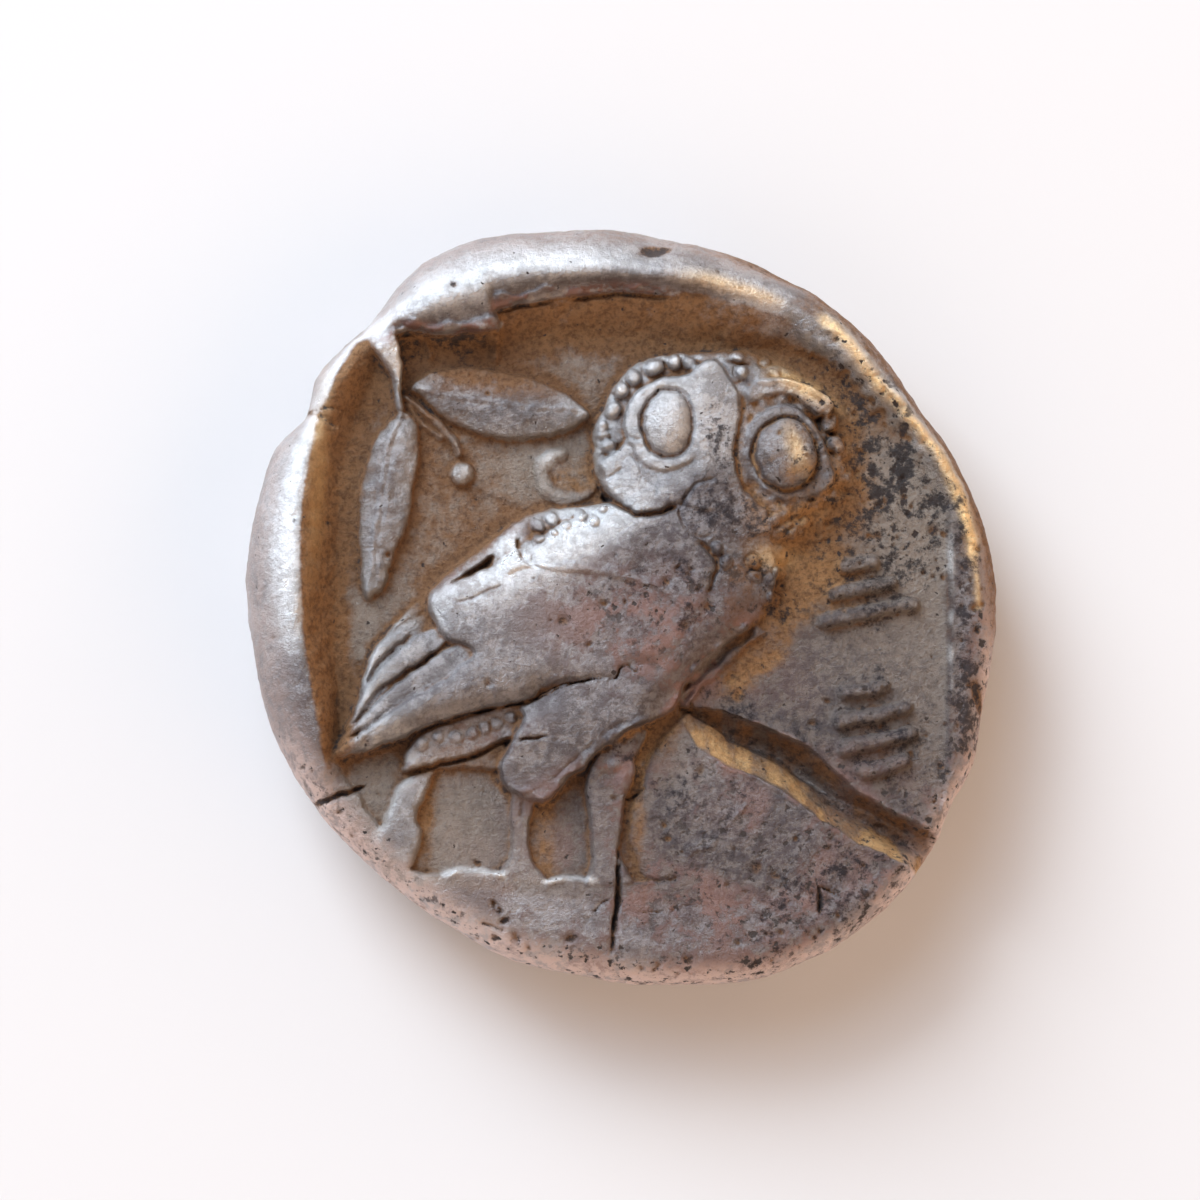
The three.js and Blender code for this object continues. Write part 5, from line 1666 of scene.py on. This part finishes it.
class COIN_OT_strike(bpy.types.Operator):
    """Strike the coin: its flan, both sides and its toning"""

    bl_idname = "coin.strike"
    bl_label = "Strike coin"

    def execute(self, context):
        sizes = context.scene.coin_sizes
        (top, flaw), under = owl_side(), underside()
        rings = coin_rings(top, under, sizes.columns)
        poles = np.array([[0, 0, FIELD + struck(top, 0, 0)], [0, 0, sample(under, 0, 0)]])
        low, high = rings.reshape(-1, 3).min(0), rings.reshape(-1, 3).max(0)
        room = np.array([COIN_HIGH.x - COIN_LOW.x, COIN_HIGH.y - COIN_LOW.y]) / MM
        fit = min(1.0, (room / (high - low)[:2]).min() * FIT_MARGIN)
        middle = (low + high)[:2] / 2

        def placed(points):
            """From the flan's own millimetres to the solid's place and unit."""
            plan = (points[..., :2] - middle) * fit
            return np.concatenate([plan, points[..., 2:]], -1) * MM

        piece = bpy.data.objects.new("silver_coin", skin_mesh("silver_coin", placed(rings), placed(poles)))
        context.scene.collection.objects.link(piece)
        thin_out(piece, sizes.triangles / (2 * rings.shape[0] * rings.shape[1]))
        mesh = piece.data
        mesh.shade_smooth()
        points = np.empty(len(mesh.vertices) * 3)
        mesh.vertices.foreach_get("co", points)
        points = points.reshape(-1, 3) / MM
        points[:, 2] = np.clip(points[:, 2], 0, COIN_HEIGHT - 1e-4)
        mesh.vertices.foreach_set("co", (points * MM).ravel())
        points[:, :2] = points[:, :2] / fit + middle
        paint_tones(mesh, top, flaw, under, points)
        mesh.materials.append(silver_material(context.scene.coin_tones))
        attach(piece, "root")
        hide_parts("coin")
        return {"FINISHED"}


class COIN_OT_stage(bpy.types.Operator):
    """Set the pale floor, the soft lights and the camera"""

    bl_idname = "coin.stage"
    bl_label = "Set stage"

    def execute(self, context):
        scene = context.scene
        stage = scene.coin_stage
        self.floor(context, stage)
        self.surroundings(scene)
        target = Vector((0, 0, FIELD * MM))
        cool, warm = (0.86, 0.95, 1.0), (1.0, 0.72, 0.44)
        self.light(context, "window", (-0.28, 0.37, 0.265), target, 0.28, stage.key_power, cool)
        self.light(context, "lamp", (0.2, 0.16, 0.1), target, 0.08, stage.warm_power, warm)
        self.camera(context, stage)
        return {"FINISHED"}

    def floor(self, context, stage):
        size = 2.0
        corners = [(-size, -size, 0), (size, -size, 0), (size, size, 0), (-size, size, 0)]
        mesh = bpy.data.meshes.new("floor")
        mesh.from_pydata(corners, [], [(0, 1, 2, 3)])
        floor = bpy.data.objects.new("floor", mesh)
        context.scene.collection.objects.link(floor)
        material = bpy.data.materials.new("pale_floor")
        material.use_nodes = True
        surface = material.node_tree.nodes["Principled BSDF"]
        surface.inputs["Base Color"].default_value = (*stage.floor_tone, 1)
        surface.inputs["Roughness"].default_value = 0.6
        mesh.materials.append(material)

    def surroundings(self, scene):
        """A pale room: grey overhead, pinkish low down, with a cool window and a warm glow."""
        world = bpy.data.worlds.new("room")
        world.use_nodes = True
        tree = world.node_tree
        direction = tree.nodes.new("ShaderNodeTexCoord").outputs["Generated"]

        def glow(azimuth, elevation, inner, outer, base, tint):
            """Blends a soft round patch of light of this tint over the base colour."""
            turn, climb = math.radians(azimuth), math.radians(elevation)
            aim = tree.nodes.new("ShaderNodeVectorMath")
            aim.operation = "DOT_PRODUCT"
            tree.links.new(direction, aim.inputs[0])
            aim.inputs[1].default_value = (
                math.cos(turn) * math.cos(climb), math.sin(turn) * math.cos(climb), math.sin(climb)
            )
            spread = (math.cos(math.radians(outer)), math.cos(math.radians(inner)))
            return blend_colours(tree, smooth_ramp(tree, aim.outputs["Value"], *spread), base, tint)

        colour = glow(0, 90, 24, 72, (0.95, 0.80, 0.70), (0.08, 0.075, 0.08))
        colour = glow(-118, 36, 6, 34, colour, (1.1, 0.92, 0.83))
        colour = glow(128, 36, 10, 36, colour, (2.5, 3.1, 3.8))
        colour = glow(-32, 24, 5, 46, colour, (1.8, 1.18, 0.68))
        tree.links.new(colour, tree.nodes["Background"].inputs["Color"])
        scene.world = world
        scene.view_settings.view_transform = "Standard"

    def light(self, context, name, place, target, size, power, colour):
        data = bpy.data.lights.new(name, "AREA")
        data.size = size
        data.energy = power
        data.color = colour
        lamp = bpy.data.objects.new(name, data)
        lamp.location = place
        lamp.rotation_euler = (target - Vector(place)).to_track_quat("-Z", "Y").to_euler()
        context.scene.collection.objects.link(lamp)

    def camera(self, context, stage):
        """Looks down on the coin from a little towards -X and -Y, with +Y up the picture."""
        frame_width = 38.85 * MM
        off_centre = Vector((-0.85, 0.04, 0)) * MM
        data = bpy.data.cameras.new("camera")
        data.sensor_width = 36
        data.lens = data.sensor_width * stage.distance / frame_width
        data.clip_start = 0.01
        lean = Vector((-0.64, -0.77, 0)) * math.sin(stage.tilt)
        towards_camera = (lean + Vector((0, 0, math.cos(stage.tilt)))).normalized()
        target = Vector((0, 0, FIELD * MM)) + off_centre
        right = Vector((0, 1, 0)).cross(towards_camera).normalized()
        up = towards_camera.cross(right)
        camera = bpy.data.objects.new("camera", data)
        turn = Matrix((right, up, towards_camera)).transposed().to_4x4()
        camera.matrix_world = Matrix.Translation(target + towards_camera * stage.distance) @ turn
        context.scene.collection.objects.link(camera)
        context.scene.camera = camera


class COIN_PT_panel(bpy.types.Panel):
    bl_idname = "COIN_PT_panel"
    bl_label = "Tetradrachm"
    bl_space_type = "VIEW_3D"
    bl_region_type = "UI"
    bl_category = "Coin"

    def draw(self, context):
        for group in (context.scene.coin_sizes, context.scene.coin_tones, context.scene.coin_stage):
            box = self.layout.box()
            for name in group.__annotations__:
                box.prop(group, name)
        self.layout.operator(COIN_OT_strike.bl_idname)
        self.layout.operator(COIN_OT_stage.bl_idname)


CLASSES = (CoinSizes, CoinTones, StageSettings, COIN_OT_strike, COIN_OT_stage, COIN_PT_panel)


def register():
    for entry in CLASSES:
        bpy.utils.register_class(entry)
    bpy.types.Scene.coin_sizes = PointerProperty(type=CoinSizes)
    bpy.types.Scene.coin_tones = PointerProperty(type=CoinTones)
    bpy.types.Scene.coin_stage = PointerProperty(type=StageSettings)


def unregister():
    del bpy.types.Scene.coin_stage
    del bpy.types.Scene.coin_tones
    del bpy.types.Scene.coin_sizes
    for entry in reversed(CLASSES):
        bpy.utils.unregister_class(entry)


def main():
    register()
    bpy.ops.coin.strike()
    bpy.ops.coin.stage()


if __name__ == "__main__":
    main()
